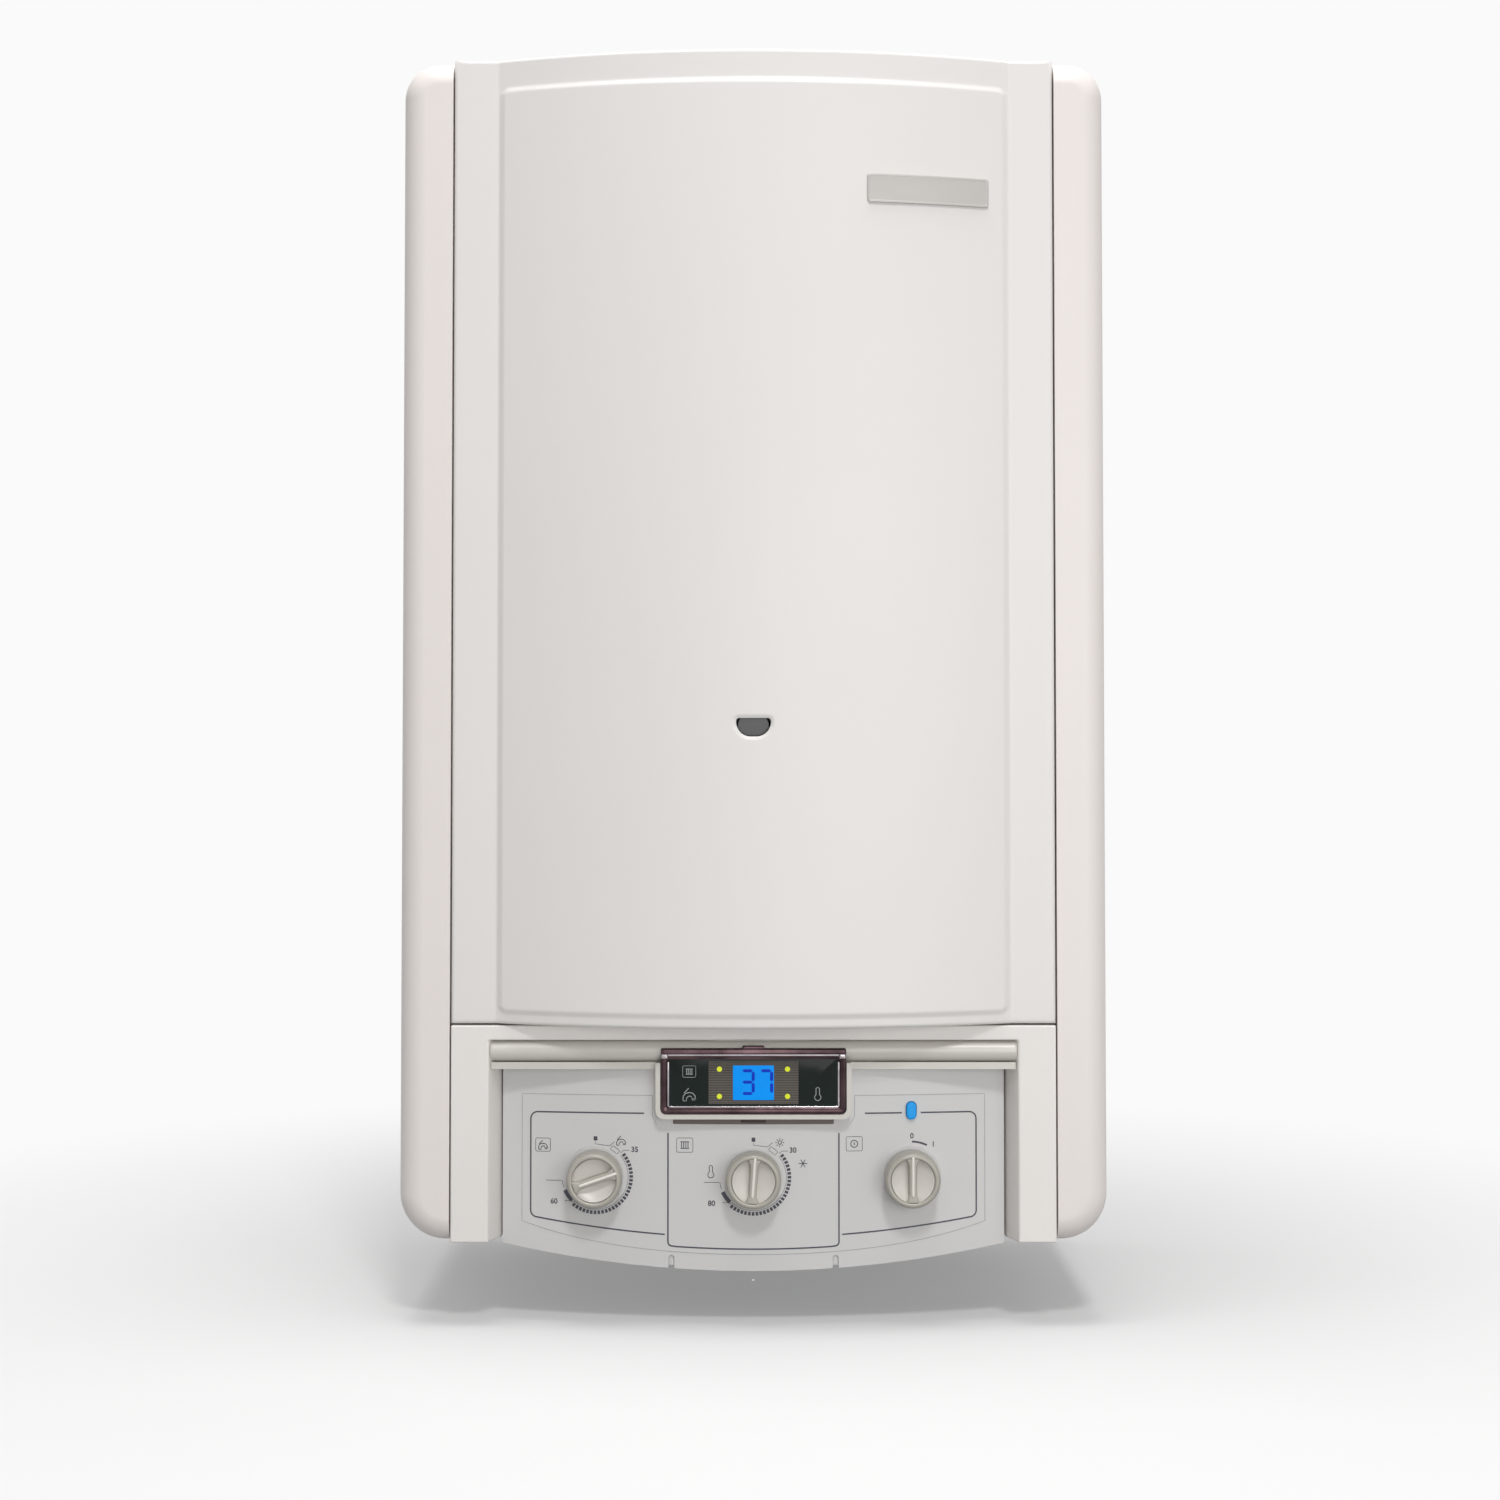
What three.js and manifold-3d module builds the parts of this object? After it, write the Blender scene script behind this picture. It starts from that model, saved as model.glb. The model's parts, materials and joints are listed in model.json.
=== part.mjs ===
// Wall-hung combi boiler with a fold-down control panel, in millimetres.
// +Z is up, +X is to the right as seen from the front, and the front faces -Y.
// The origin is the middle of the back plate's rear face, where it lies on the wall.

import * as THREE from "three";
import { mergeVertices } from "three/addons/utils/BufferGeometryUtils.js";
import Module from "manifold-3d";

const wasm = await Module();
wasm.setup();

// ---- Driving dimensions: casing ----
const CASE_WIDTH = 410;
const CASE_HEIGHT = 686;
const CASE_DEPTH = 250; // from the wall to the flat of the front
const TOP_CORNER = 21;
const BOTTOM_CORNER = 27;
const FRONT_ROUND = 14; // rounding of the side panels' long front edges
const SIDE_FACE = 29.6; // width of a side panel as seen from the front
const SIDE_LIP = 12; // fold of a side panel beside the door
const SHEET = 1.2; // steel sheet of panels, door and chamber
const SEAM = 0.8; // open seam between neighbouring panels
const FIT = 0.3; // gap where one piece seats on another
const FLATNESS = 0.001; // how far a merged face may stand off its plane
const BACK_SHEET = 1.5;
const BACK_FLANGE = 24;
const HANGER_HEIGHT = 51;
const HANGER_INNER = 84; // from the middle to each hanger's inner edge
const HANGER_SLOT = 40;
const HANGER_SLOT_PLACE = 128; // from the middle to each slot's middle
const TOP_SETBACK = 18.5; // from the flat of the front back to the top panel

// ---- Door ----
const DOOR_BULGE = 28; // how far the middle of the door stands out from its borders
const DOOR_BORDER = 26; // flat border each side
const DOOR_FLANGE = 18;
const RAISED_HEIGHT = 1.6; // the pressed panel stands this far above the sheet
const RAISED_TOP = 18;
const RAISED_BOTTOM = 7;
const RAISED_CORNER = 5;
const SIGHT_WIDTH = 19.8;
const SIGHT_HEIGHT = 10.5;
const SIGHT_ABOVE_DOOR = 171; // sight hole's middle above the door's lower edge
const BADGE_WIDTH = 71;
const BADGE_HEIGHT = 16.6;
const BADGE_DROP = 80; // badge's middle below the door's top edge
const BADGE_ASIDE = 101;

// ---- Control panel ----
const FASCIA_HEIGHT = 124.5;
const FASCIA_BAND = 8.5; // top band of the fascia frame
const FASCIA_COLUMN = 21.6;
const FASCIA_DEPTH = 55;
const RECESS_SLANT = 6.5; // how far each recess wall leans in towards the back
const RECESS_DEPTH = 18;
const MOULDING = 2.4; // wall of the plastic mouldings
const PLATE_BULGE = 12;
const PLATE_DEPTH = 18; // depth of the control plate's side walls
const CHIN_DROP = 3; // control plate's lower corners below the casing
const CHIN_BULGE = 14; // and its middle below those corners
const CHIN_SLOT = 3.4;
const CHIN_SLOT_PLACE = 47.4;
const RAIL_RADIUS = 6.1;
const LIP_HEIGHT = 4;
const DISPLAY_WIDTH = 106.8;
const DISPLAY_HEIGHT = 37.7;
const DISPLAY_RIM = 3.1; // moulded rim round the chromed bezel
const BEZEL_FACE = 4;
const LENS_SINK = 1.5; // back of the display's glass behind the hood's face
const KNOB_DIAMETER = 32;
const KNOB_HEIGHT = 15;
const KNOB_BAR = 4.8;
const KNOB_PITCH = 91.5;
const KNOB_LEVEL = 36.6; // knob axes above the casing's lower edge
const SEAT_BACK = 9; // back of the knob seats in front of the plate's rear edge
const SWITCH_HALF = 11; // half the width of a rotary switch
const SHAFT_DIAMETER = 6;
const BUTTON_WIDTH = 5.8;
const BUTTON_HEIGHT = 10.1;
const BUTTON_LEVEL = 74.5;
const BUTTON_PROUD = 2.6;
const BOX_DEPTH = 44;
const CABLE_SLOT_PITCH = 40;
const HINGE_PIN = 6; // diameter of the control panel's hinge pins
const EAR_REACH = 3; // how far the control box's hinge ears stand out from its sides
const HINGE_LEVEL = 12; // hinge axis above the casing's lower edge

// ---- Sealed chamber and what it holds ----
const CHAMBER_WIDTH = 330;
const CHAMBER_LIFT = 108; // chamber floor above the fascia
const CHAMBER_BACK = 78; // from the wall to the chamber's rear wall
const CHAMBER_FRONT = 21; // from the flat of the front back to the chamber's cover
const COVER_PRESSING = 2.5; // how far the chamber cover's panel stands out
const STACK_WIDTH = 216; // burner, combustion chamber and heat exchanger
const STACK_DEPTH = 124;
const BURNER_HEIGHT = 34;
const BURNER_BLADES = 10;
const FIREBOX_HEIGHT = 140;
const EXCHANGER_HEIGHT = 70;
const EXCHANGER_FINS = 9;
const HOOD_HEIGHT = 45;
const FAN_WIDTH = 50;
const SCROLL_SMALL = 38;
const SCROLL_LARGE = 52;
const IMPELLER_RADIUS = 32;
const IMPELLER_BLADES = 14;
const FLUE_BORE = 54;
const FLUE_OUTSIDE = 60;
const FLUE_FLANGE = 100;
const FLUE_RISE = 25; // collar above the top panel

// ---- Water and gas ----
const PIPE = 15;
const TAIL = 20; // outside diameter of a pipe tail's union
const TAIL_BORE = 13;
const TAIL_PITCH = 65;
const TAIL_FROM_WALL = 62;
const TAIL_DROP = 24; // below the casing's lower edge
const BLOCK_HEIGHT = 48; // brass manifolds
const BLOCK_DEPTH = 44;
const PLATES_WIDTH = 184;
const PLATES_HEIGHT = 72;
const PLATES_DEPTH = 42;
const PLATES_COUNT = 8;
const PLATES_CORNER = 14;
const PUMP_RADIUS = 40;
const PUMP_MOTOR_RADIUS = 38;
const PUMP_MOTOR_LENGTH = 72;
const PUMP_MOTOR_RIBS = 10;
const SPINDLE = 6; // diameter of the spindles that the hand knobs turn on
const TAP_RADIUS = 14;
const TAP_HEIGHT = 14;
const GAS_VALVE_WIDTH = 64;
const VESSEL_WIDTH = 290;
const VESSEL_HEIGHT = 340;
const VESSEL_DEPTH = 70;

const sides = [-1, 1]; // left and right

// ---- Places worked out from them ----
const halfWidth = CASE_WIDTH / 2;
const top = CASE_HEIGHT / 2;
const bottom = -top;
const front = -CASE_DEPTH;
const seamHalf = halfWidth - SIDE_FACE; // a side panel's edge beside the door
const doorHalf = seamHalf - SEAM;
const bowHalf = doorHalf - DOOR_BORDER;
const bowRadius = (bowHalf ** 2 + DOOR_BULGE ** 2) / (2 * DOOR_BULGE);
const bowCentre = front - DOOR_BULGE + bowRadius;
const fasciaTop = bottom + FASCIA_HEIGHT;
const doorBottom = fasciaTop + 1;
const recessTop = fasciaTop - FASCIA_BAND;
const recessHalf = doorHalf - FASCIA_COLUMN;
const recessInner = recessHalf - RECESS_SLANT;
const plateHalf = recessInner - 0.6;
const plateEdge = front + RECESS_DEPTH - 2; // the control plate's front at its side edges
const plateRadius = (plateHalf ** 2 + PLATE_BULGE ** 2) / (2 * PLATE_BULGE);
const plateCentre = plateEdge - PLATE_BULGE + plateRadius;
const plateBack = plateEdge + PLATE_DEPTH;
const railTop = recessTop - 0.4;
const railLevel = railTop - RAIL_RADIUS;
const railBottom = railTop - 2 * RAIL_RADIUS;
const plateTop = railBottom - FIT;
const lipBottom = plateTop - LIP_HEIGHT;
const displayTop = recessTop - 4.4;
const displayBottom = displayTop - DISPLAY_HEIGHT;
const displayHalf = DISPLAY_WIDTH / 2;
const displayFace = front - 1.5;
const knobLevel = bottom + KNOB_LEVEL;
const boxFront = plateBack + FIT;
const boxBack = boxFront + BOX_DEPTH;
const boxHalf = plateHalf - 8;
const hingeY = boxBack - 8;
const hingeZ = bottom + HINGE_LEVEL;
const chamberHalf = CHAMBER_WIDTH / 2;
const chamberFloor = fasciaTop + CHAMBER_LIFT;
const chamberTop = top - 10;
const chamberRear = -CHAMBER_BACK;
const chamberFront = front + CHAMBER_FRONT;
const stackHalf = STACK_WIDTH / 2;
const stackRear = chamberRear - 13;
const stackFront = stackRear - STACK_DEPTH;
const stackMiddle = (stackRear + stackFront) / 2;
const burnerBottom = chamberFloor + 10;
const burnerTop = burnerBottom + BURNER_HEIGHT;
const fireboxBottom = burnerTop + FIT;
const fireboxTop = fireboxBottom + FIREBOX_HEIGHT;
const exchangerBottom = fireboxTop + FIT;
const exchangerTop = exchangerBottom + EXCHANGER_HEIGHT;
const hoodBottom = exchangerTop + FIT;
const hoodTop = hoodBottom + HOOD_HEIGHT;
const fanX = -(SCROLL_LARGE - FLUE_BORE / 2 + 3);
const fanZ = hoodTop + FIT + SCROLL_LARGE;
const fanEye = SCROLL_SMALL * 0.62; // radius of the fan's inlet
const fanRear = chamberRear - 28;
const fanFront = fanRear - FAN_WIDTH;
const flueY = (fanRear + fanFront) / 2;
const topPanelTop = top - SHEET - FIT;
const floorTop = bottom + 2 * SHEET + BACK_SHEET + 2 * FIT; // upper face of the bottom plate
const tailY = -TAIL_FROM_WALL;
const tailEnd = bottom - TAIL_DROP;
const blockBottom = floorTop + 20;
const blockTop = blockBottom + BLOCK_HEIGHT;
const blockRear = tailY + BLOCK_DEPTH / 2;
const blockFront = tailY - BLOCK_DEPTH / 2;
const pipeX = 2 * TAIL_PITCH; // outer tails, and the flow and return pipes above them
const pumpX = pipeX - PUMP_RADIUS + PIPE;
const pumpZ = blockTop + PUMP_RADIUS + 6;
const valveTop = blockTop + 55; // diverter valve's tower
const gasValveBottom = blockTop + 36;
const gasValveTop = gasValveBottom + 80;

// ---- Solids from three.js geometry ----

// A closed geometry as a solid. A profile drawn the other way round is turned to face out.
function solid(geometry) {
  const bare = geometry.clone();
  bare.deleteAttribute("normal");
  bare.deleteAttribute("uv");
  const merged = mergeVertices(bare);
  const corners = merged.index.array;
  const faces = [];
  for (let i = 0; i < corners.length; i += 3) {
    const [a, b, c] = corners.slice(i, i + 3);
    if (a !== b && b !== c && c !== a) faces.push(a, b, c);
  }
  const build = (triangles) =>
    new wasm.Manifold(
      new wasm.Mesh({
        numProp: 3,
        vertProperties: merged.attributes.position.array,
        triVerts: new Uint32Array(triangles),
      }),
    );
  const made = build(faces);
  return made.volume() > 0 ? made : build(faces.reverse());
}

const unite = (solids) => solids.reduce((sum, each) => sum.add(each));

const carve = (body, ...cutters) => cutters.reduce((rest, cutter) => rest.subtract(cutter), body);

function box(x0, x1, y0, y1, z0, z1) {
  const geometry = new THREE.BoxGeometry(Math.abs(x1 - x0), Math.abs(y1 - y0), Math.abs(z1 - z0));
  geometry.translate((x0 + x1) / 2, (y0 + y1) / 2, (z0 + z1) / 2);
  return solid(geometry);
}

const polygon = (points) => new THREE.Shape(points.map(([u, v]) => new THREE.Vector2(u, v)));

// Rectangle with one radius for its lower corners and one for its upper corners.
function rounded(u0, u1, v0, v1, lower, upper = lower) {
  const shape = new THREE.Shape();
  shape.absarc(u1 - lower, v0 + lower, lower, -Math.PI / 2, 0, false);
  shape.absarc(u1 - upper, v1 - upper, upper, 0, Math.PI / 2, false);
  shape.absarc(u0 + upper, v1 - upper, upper, Math.PI / 2, Math.PI, false);
  shape.absarc(u0 + lower, v0 + lower, lower, Math.PI, 1.5 * Math.PI, false);
  return shape;
}

const plain = { bevelEnabled: false, curveSegments: 2 };

// A plan (X, Y) raised from z0 to z1.
function upright(shape, z0, z1, options = plain) {
  const geometry = new THREE.ExtrudeGeometry(shape, { ...options, depth: z1 - z0 });
  return solid(geometry.translate(0, 0, z0));
}

// An elevation (X, Z) as seen from the front, carried forwards from yBack to yFront.
function forwards(shape, yBack, yFront, options = plain) {
  const geometry = new THREE.ExtrudeGeometry(shape, { ...options, depth: yBack - yFront });
  return solid(geometry.rotateX(Math.PI / 2).translate(0, yBack, 0));
}

// A side profile (Y, Z) carried across from x0 to x1.
function across(shape, x0, x1) {
  const geometry = new THREE.ExtrudeGeometry(shape, { ...plain, depth: x1 - x0 });
  const turn = new THREE.Matrix4().makeBasis(
    new THREE.Vector3(0, 1, 0),
    new THREE.Vector3(0, 0, 1),
    new THREE.Vector3(1, 0, 0),
  );
  return solid(geometry.applyMatrix4(turn).translate(x0, 0, 0));
}

// Round bars along each axis. The first two values are the place of the bar's axis.
function rodX(y, z, radius, x0, x1, sides = 16) {
  const geometry = new THREE.CylinderGeometry(radius, radius, Math.abs(x1 - x0), sides);
  return solid(geometry.rotateZ(Math.PI / 2).translate((x0 + x1) / 2, y, z));
}

function rodY(x, z, radius, y0, y1, sides = 16) {
  const geometry = new THREE.CylinderGeometry(radius, radius, Math.abs(y1 - y0), sides);
  return solid(geometry.translate(x, (y0 + y1) / 2, z));
}

function rodZ(x, y, radius, z0, z1, sides = 16) {
  const geometry = new THREE.CylinderGeometry(radius, radius, Math.abs(z1 - z0), sides);
  return solid(geometry.rotateX(Math.PI / 2).translate(x, y, (z0 + z1) / 2));
}

// A profile of (radius, y) points turned about the Y axis.
function turned(profile, sides) {
  const points = profile.map(([radius, y]) => new THREE.Vector2(radius, y));
  return new THREE.LatheGeometry(points, sides);
}

// Route of a pipe whose stations stand only at its ends and round its bends.
class PipeRoute extends THREE.Curve {
  constructor(corners, bend) {
    super();
    this.stations = [corners[0]];
    for (let i = 1; i < corners.length - 1; i += 1) {
      const start = corners[i].clone().add(corners[i - 1].clone().sub(corners[i]).setLength(bend));
      const end = corners[i].clone().add(corners[i + 1].clone().sub(corners[i]).setLength(bend));
      this.stations.push(...new THREE.QuadraticBezierCurve3(start, corners[i], end).getPoints(5));
    }
    this.stations.push(corners.at(-1));
  }

  getPoint(share) {
    const place = share * (this.stations.length - 1);
    const near = Math.min(Math.floor(place), this.stations.length - 2);
    return this.stations[near].clone().lerp(this.stations[near + 1], place - near);
  }

  getPointAt(share) {
    return this.getPoint(share);
  }

  // The ends leave squarely; between them the direction turns halfway at each station.
  getTangentAt(share) {
    const last = this.stations.length - 1;
    const near = Math.round(share * last);
    const before = this.stations[Math.max(near - 1, 0)];
    const after = this.stations[Math.min(near + 1, last)];
    const into = this.stations[near].clone().sub(before).normalize();
    return into.add(after.clone().sub(this.stations[near]).normalize()).normalize();
  }
}

// A run of pipe through its corners, each rounded by a bend.
function pipeRun(corners, radius, bend, sides = 8) {
  const route = new PipeRoute(corners.map((corner) => new THREE.Vector3(...corner)), bend);
  const section = [];
  for (let i = 0; i < sides; i += 1) {
    const angle = (2 * Math.PI * i) / sides;
    section.push([radius * Math.cos(angle), radius * Math.sin(angle)]);
  }
  const steps = route.stations.length - 1;
  return solid(new THREE.ExtrudeGeometry(polygon(section), { steps, extrudePath: route }));
}

// ---- Finishes ----

const finish = (color, roughness, metalness = 0) =>
  new THREE.MeshStandardMaterial({ color, roughness, metalness });
const whiteEnamel = () => finish(0xe3e2df, 0.35);
const warmWhiteEnamel = () => finish(0xe6e1de, 0.38);
const fasciaPlastic = () => finish(0xe4e0dc, 0.45);
const greyPlastic = () => finish(0xc3c3c2, 0.4);
const satinSilver = () => finish(0xb5b1a5, 0.32, 0.35);
const chrome = () => finish(0xc9c9cc, 0.08, 1);
const darkGlass = () => finish(0x16201d, 0.08);
const bluePlastic = () => finish(0x00a2f5, 0.35);
const blackPlastic = () => finish(0x222224, 0.5);
const redPlastic = () => finish(0xb3261e, 0.45);
const galvanised = () => finish(0xa9adb0, 0.45, 0.9);
const stainless = () => finish(0xb9bbbd, 0.3, 1);
const copper = () => finish(0xb87650, 0.35, 1);
const brass = () => finish(0xb59a58, 0.4, 1);
const castAluminium = () => finish(0x9fa2a4, 0.55, 0.9);
const redVessel = () => finish(0xa32f26, 0.5);
const circuitGreen = () => finish(0x2c5e3a, 0.5);
const sightGlass = () => finish(0x2f2f2f, 0.1);

// ---- The assembly and its moving groups ----

const boiler = new THREE.Group();
const door = new THREE.Group();
const controlPanel = new THREE.Group();
boiler.add(door, controlPanel);

// Adds a solid to its group as a named mesh, and returns the mesh. Triangles that lie in one
// plane are merged first, so flat faces stay light.
function part(name, made, material, group = boiler) {
  const { vertProperties, triVerts } = made.asOriginal().simplify(FLATNESS).getMesh();
  const geometry = new THREE.BufferGeometry();
  geometry.setAttribute("position", new THREE.Float32BufferAttribute(vertProperties, 3));
  geometry.setIndex(new THREE.BufferAttribute(Uint32Array.from(triVerts), 1));
  const faceted = geometry.toNonIndexed();
  faceted.computeVertexNormals();
  const mesh = new THREE.Mesh(faceted, material);
  mesh.name = name;
  group.add(mesh);
  return mesh;
}

// ---- Casing ----

// The casing's elevation, drawn in by an inset.
const caseOutline = (inset) =>
  rounded(
    -halfWidth + inset,
    halfWidth - inset,
    bottom + inset,
    top - inset,
    BOTTOM_CORNER - inset,
    TOP_CORNER - inset,
  );

// The whole casing as one block with rounded front edges, drawn in by an inset.
function caseBlock(inset, yBack) {
  const round = FRONT_ROUND - inset;
  const rounding = {
    curveSegments: 2,
    bevelEnabled: true,
    bevelSegments: 4,
    bevelSize: round,
    bevelThickness: round,
    bevelOffset: -round,
  };
  return forwards(caseOutline(inset), yBack, front + inset + round, rounding);
}

function sidePanel(side) {
  const edges = [side * seamHalf, side * halfWidth * 1.1].sort((a, b) => a - b);
  const cell = box(...edges, -1, front * 1.1, bottom * 1.1, top * 1.1);
  const lipEdges = [side * seamHalf, side * (seamHalf + SHEET)].sort((a, b) => a - b);
  const lipCell = box(...lipEdges, front + SIDE_LIP, front * 1.1, bottom * 1.1, top * 1.1);
  const outer = caseBlock(0, FRONT_ROUND);
  const skin = outer.subtract(caseBlock(SHEET, 2 * FRONT_ROUND));
  return skin.add(outer.intersect(lipCell)).intersect(cell);
}

// A shallow tray against the wall, whose flange stands just inside the side panels.
function backPlate() {
  const inset = SHEET + FIT;
  const tray = forwards(caseOutline(inset), 0, -BACK_FLANGE);
  const hollow = forwards(caseOutline(inset + BACK_SHEET), -BACK_SHEET, -2 * BACK_FLANGE);
  const headroom = box(-halfWidth, halfWidth, 1, -2 * BACK_FLANGE, top - HANGER_HEIGHT - 7, top);
  return carve(tray, hollow, headroom);
}

// Each hanger hooks over the wall bracket by its slot, and laps over the back plate.
function hanger(side) {
  const inner = side * HANGER_INNER;
  const outer = side * (halfWidth - SHEET - FIT - 4);
  const lapOuter = side * (chamberHalf - 6);
  const low = top - HANGER_HEIGHT - 7 + FIT;
  const slotX = side * HANGER_SLOT_PLACE;
  const sheet = 2;
  const lap = -BACK_SHEET - FIT;
  const blade = box(inner, outer, 0, lap - sheet / 2, low, low + HANGER_HEIGHT - 14);
  const foot = box(inner, lapOuter, lap, lap - sheet, low - 14, low + 8);
  const slot = box(slotX - HANGER_SLOT / 2, slotX + HANGER_SLOT / 2, 1, -9, low + 14, low + 29);
  return carve(blade.add(foot), slot);
}

// Floor of the casing behind the control panel, with a hole for each pipe tail.
function bottomPlate() {
  const half = halfWidth - BOTTOM_CORNER - 2;
  const low = floorTop - SHEET;
  const rear = -BACK_SHEET - 3;
  const lipFront = hingeY + 14;
  const sheet = box(-half, half, rear, lipFront, low, floorTop);
  const lip = box(8 - boxHalf, boxHalf - 8, lipFront + SHEET, lipFront, low, floorTop + 9);
  const holes = tailPlaces().map((x) => rodZ(x, tailY, TAIL / 2 + 3, low - 1, floorTop + 1, 12));
  return carve(sheet.add(lip), ...holes);
}

// Lid between the side panels, with a stiffening lip and the flue opening.
function topPanel() {
  const half = halfWidth - TOP_CORNER - 2;
  const low = topPanelTop - SHEET;
  const edge = front + TOP_SETBACK;
  const sheet = box(-half, half, -1, edge, low, topPanelTop);
  const lip = box(-seamHalf + 6, seamHalf - 6, edge + SHEET, edge, low - 4, topPanelTop);
  const hole = rodZ(0, flueY, FLUE_OUTSIDE / 2 + 1, low - 1, topPanelTop + 1, 24);
  return carve(sheet.add(lip), hole);
}

// Spigot of the fan outlet with the flange that the flue bolts to.
function flueCollar() {
  const foot = topPanelTop + FIT;
  const rim = topPanelTop + FLUE_RISE;
  const outer = FLUE_OUTSIDE / 2;
  const profile = [
    [FLUE_BORE / 2, chamberTop - 9],
    [outer, chamberTop - 9],
    [outer, foot],
    [FLUE_FLANGE / 2, foot],
    [FLUE_FLANGE / 2, foot + 3],
    [outer + 3, foot + 3],
    [outer + 2, rim - 4],
    [outer + 4, rim],
    [FLUE_BORE / 2, rim],
    [FLUE_BORE / 2, chamberTop - 9],
  ];
  return solid(turned(profile, 20).rotateX(Math.PI / 2).translate(0, flueY, 0));
}

// ---- Door ----

// Plan of the bowed door, drawn in by an inset: flat borders and one arc between them.
function bowPlan(inset, yBack) {
  const radius = bowRadius - inset;
  const flat = front + inset;
  const reach = Math.asin(Math.sqrt(radius ** 2 - (bowCentre - flat) ** 2) / radius);
  const points = [[-doorHalf + inset, yBack], [-doorHalf + inset, flat]];
  const steps = 18;
  for (let i = 0; i <= steps; i += 1) {
    const angle = reach * ((2 * i) / steps - 1);
    points.push([radius * Math.sin(angle), bowCentre - radius * Math.cos(angle)]);
  }
  points.push([doorHalf - inset, flat], [doorHalf - inset, yBack]);
  return polygon(points);
}

function frontDoor() {
  const back = front + DOOR_FLANGE;
  const sheet = upright(bowPlan(0, back), doorBottom, top);
  const raised = upright(bowPlan(-RAISED_HEIGHT, back), doorBottom, top);
  const edge = bowHalf - 2;
  const pressing = rounded(-edge, edge, doorBottom + RAISED_BOTTOM, top - RAISED_TOP, RAISED_CORNER);
  const body = sheet.add(raised.intersect(forwards(pressing, back, front * 1.3)));
  const hollow = upright(bowPlan(SHEET, back + 1), doorBottom + SHEET, top - SHEET);
  return carve(body, hollow, sightHole());
}

// The D-shaped sight hole: flat above, rounded below.
function sightHole() {
  const middle = doorBottom + SIGHT_ABOVE_DOOR;
  const half = SIGHT_WIDTH / 2;
  const shape = rounded(
    -half,
    half,
    middle - SIGHT_HEIGHT / 2,
    middle + SIGHT_HEIGHT / 2,
    SIGHT_HEIGHT * 0.8,
    SIGHT_HEIGHT * 0.15,
  );
  return forwards(shape, front + SHEET * 3, front * 1.3);
}

// The name plate's blank: a thin plate that follows the bow of the door.
function badgePlate() {
  const x0 = BADGE_ASIDE - BADGE_WIDTH / 2;
  const x1 = BADGE_ASIDE + BADGE_WIDTH / 2;
  const middle = top - BADGE_DROP;
  const shape = rounded(x0, x1, middle - BADGE_HEIGHT / 2, middle + BADGE_HEIGHT / 2, 2);
  const under = bowPlan(-RAISED_HEIGHT - FIT, front);
  const over = bowPlan(-RAISED_HEIGHT - FIT - 1.8, front);
  const [z0, z1] = [middle - BADGE_HEIGHT, middle + BADGE_HEIGHT];
  const skin = upright(over, z0, z1).subtract(upright(under, z0 - 1, z1 + 1));
  return skin.intersect(forwards(shape, front, front * 1.3));
}

// ---- Fascia frame ----

// Plan of the control recess: it narrows towards the back, then runs straight.
function recessPlan(gap, yFront, yBack) {
  const slantEnd = front + RECESS_DEPTH;
  const wide = recessHalf - gap + ((front - yFront) * RECESS_SLANT) / RECESS_DEPTH;
  return polygon([
    [-wide, yFront],
    [wide, yFront],
    [recessInner - gap, slantEnd],
    [recessInner - gap, yBack],
    [gap - recessInner, yBack],
    [gap - recessInner, slantEnd],
  ]);
}

// Two columns and a top band, open towards the back and below.
function fasciaFrame() {
  const back = front + FASCIA_DEPTH;
  const block = box(-doorHalf, doorHalf, back, front, bottom, fasciaTop);
  const recess = upright(recessPlan(0, front - 1, back + 1), bottom - 1, recessTop);
  const wall = MOULDING;
  const core = box(
    -doorHalf + wall,
    doorHalf - wall,
    back + 1,
    front + wall,
    bottom + wall,
    fasciaTop - wall,
  );
  const lining = upright(recessPlan(-wall, front, back + 2), bottom, recessTop + wall);
  return carve(block, recess, core.subtract(lining));
}

// ---- Control panel, which folds down about its hinge pins ----

// The bowed plate's face at a distance from its middle, drawn in by an inset.
const plateFace = (x, inset = 0) => plateCentre - Math.sqrt((plateRadius - inset) ** 2 - x ** 2);

function platePlan(inset, yBack) {
  const half = plateHalf - inset;
  const points = [[-half, yBack]];
  const steps = 16;
  for (let i = 0; i <= steps; i += 1) {
    const x = half * ((2 * i) / steps - 1);
    points.push([x, plateFace(x, inset)]);
  }
  points.push([half, yBack]);
  return polygon(points);
}

// Elevation of the plate, with the chin's arc below.
function plateOutline(inset) {
  const half = plateHalf - inset;
  const corner = bottom - CHIN_DROP + inset;
  const points = [[half, railTop - inset], [-half, railTop - inset]];
  const steps = 16;
  for (let i = 0; i <= steps; i += 1) {
    const x = half * ((2 * i) / steps - 1);
    points.push([x, corner - CHIN_BULGE * (1 - (x / plateHalf) ** 2)]);
  }
  return polygon(points);
}

const knobPlaces = () => [-KNOB_PITCH, 0, KNOB_PITCH];

// Flat seat of a knob on the bowed plate, just proud of the most forward point under it.
const seatRadius = KNOB_DIAMETER / 2 + 1.5;
const seatFace = (x) => plateFace(Math.max(0, Math.abs(x) - seatRadius)) - 0.3;

const capsule = (gap) =>
  rounded(
    KNOB_PITCH - BUTTON_WIDTH / 2 - gap,
    KNOB_PITCH + BUTTON_WIDTH / 2 + gap,
    bottom + BUTTON_LEVEL - BUTTON_HEIGHT / 2 - gap,
    bottom + BUTTON_LEVEL + BUTTON_HEIGHT / 2 + gap,
    BUTTON_WIDTH / 2 + gap - 0.01,
  );

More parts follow.
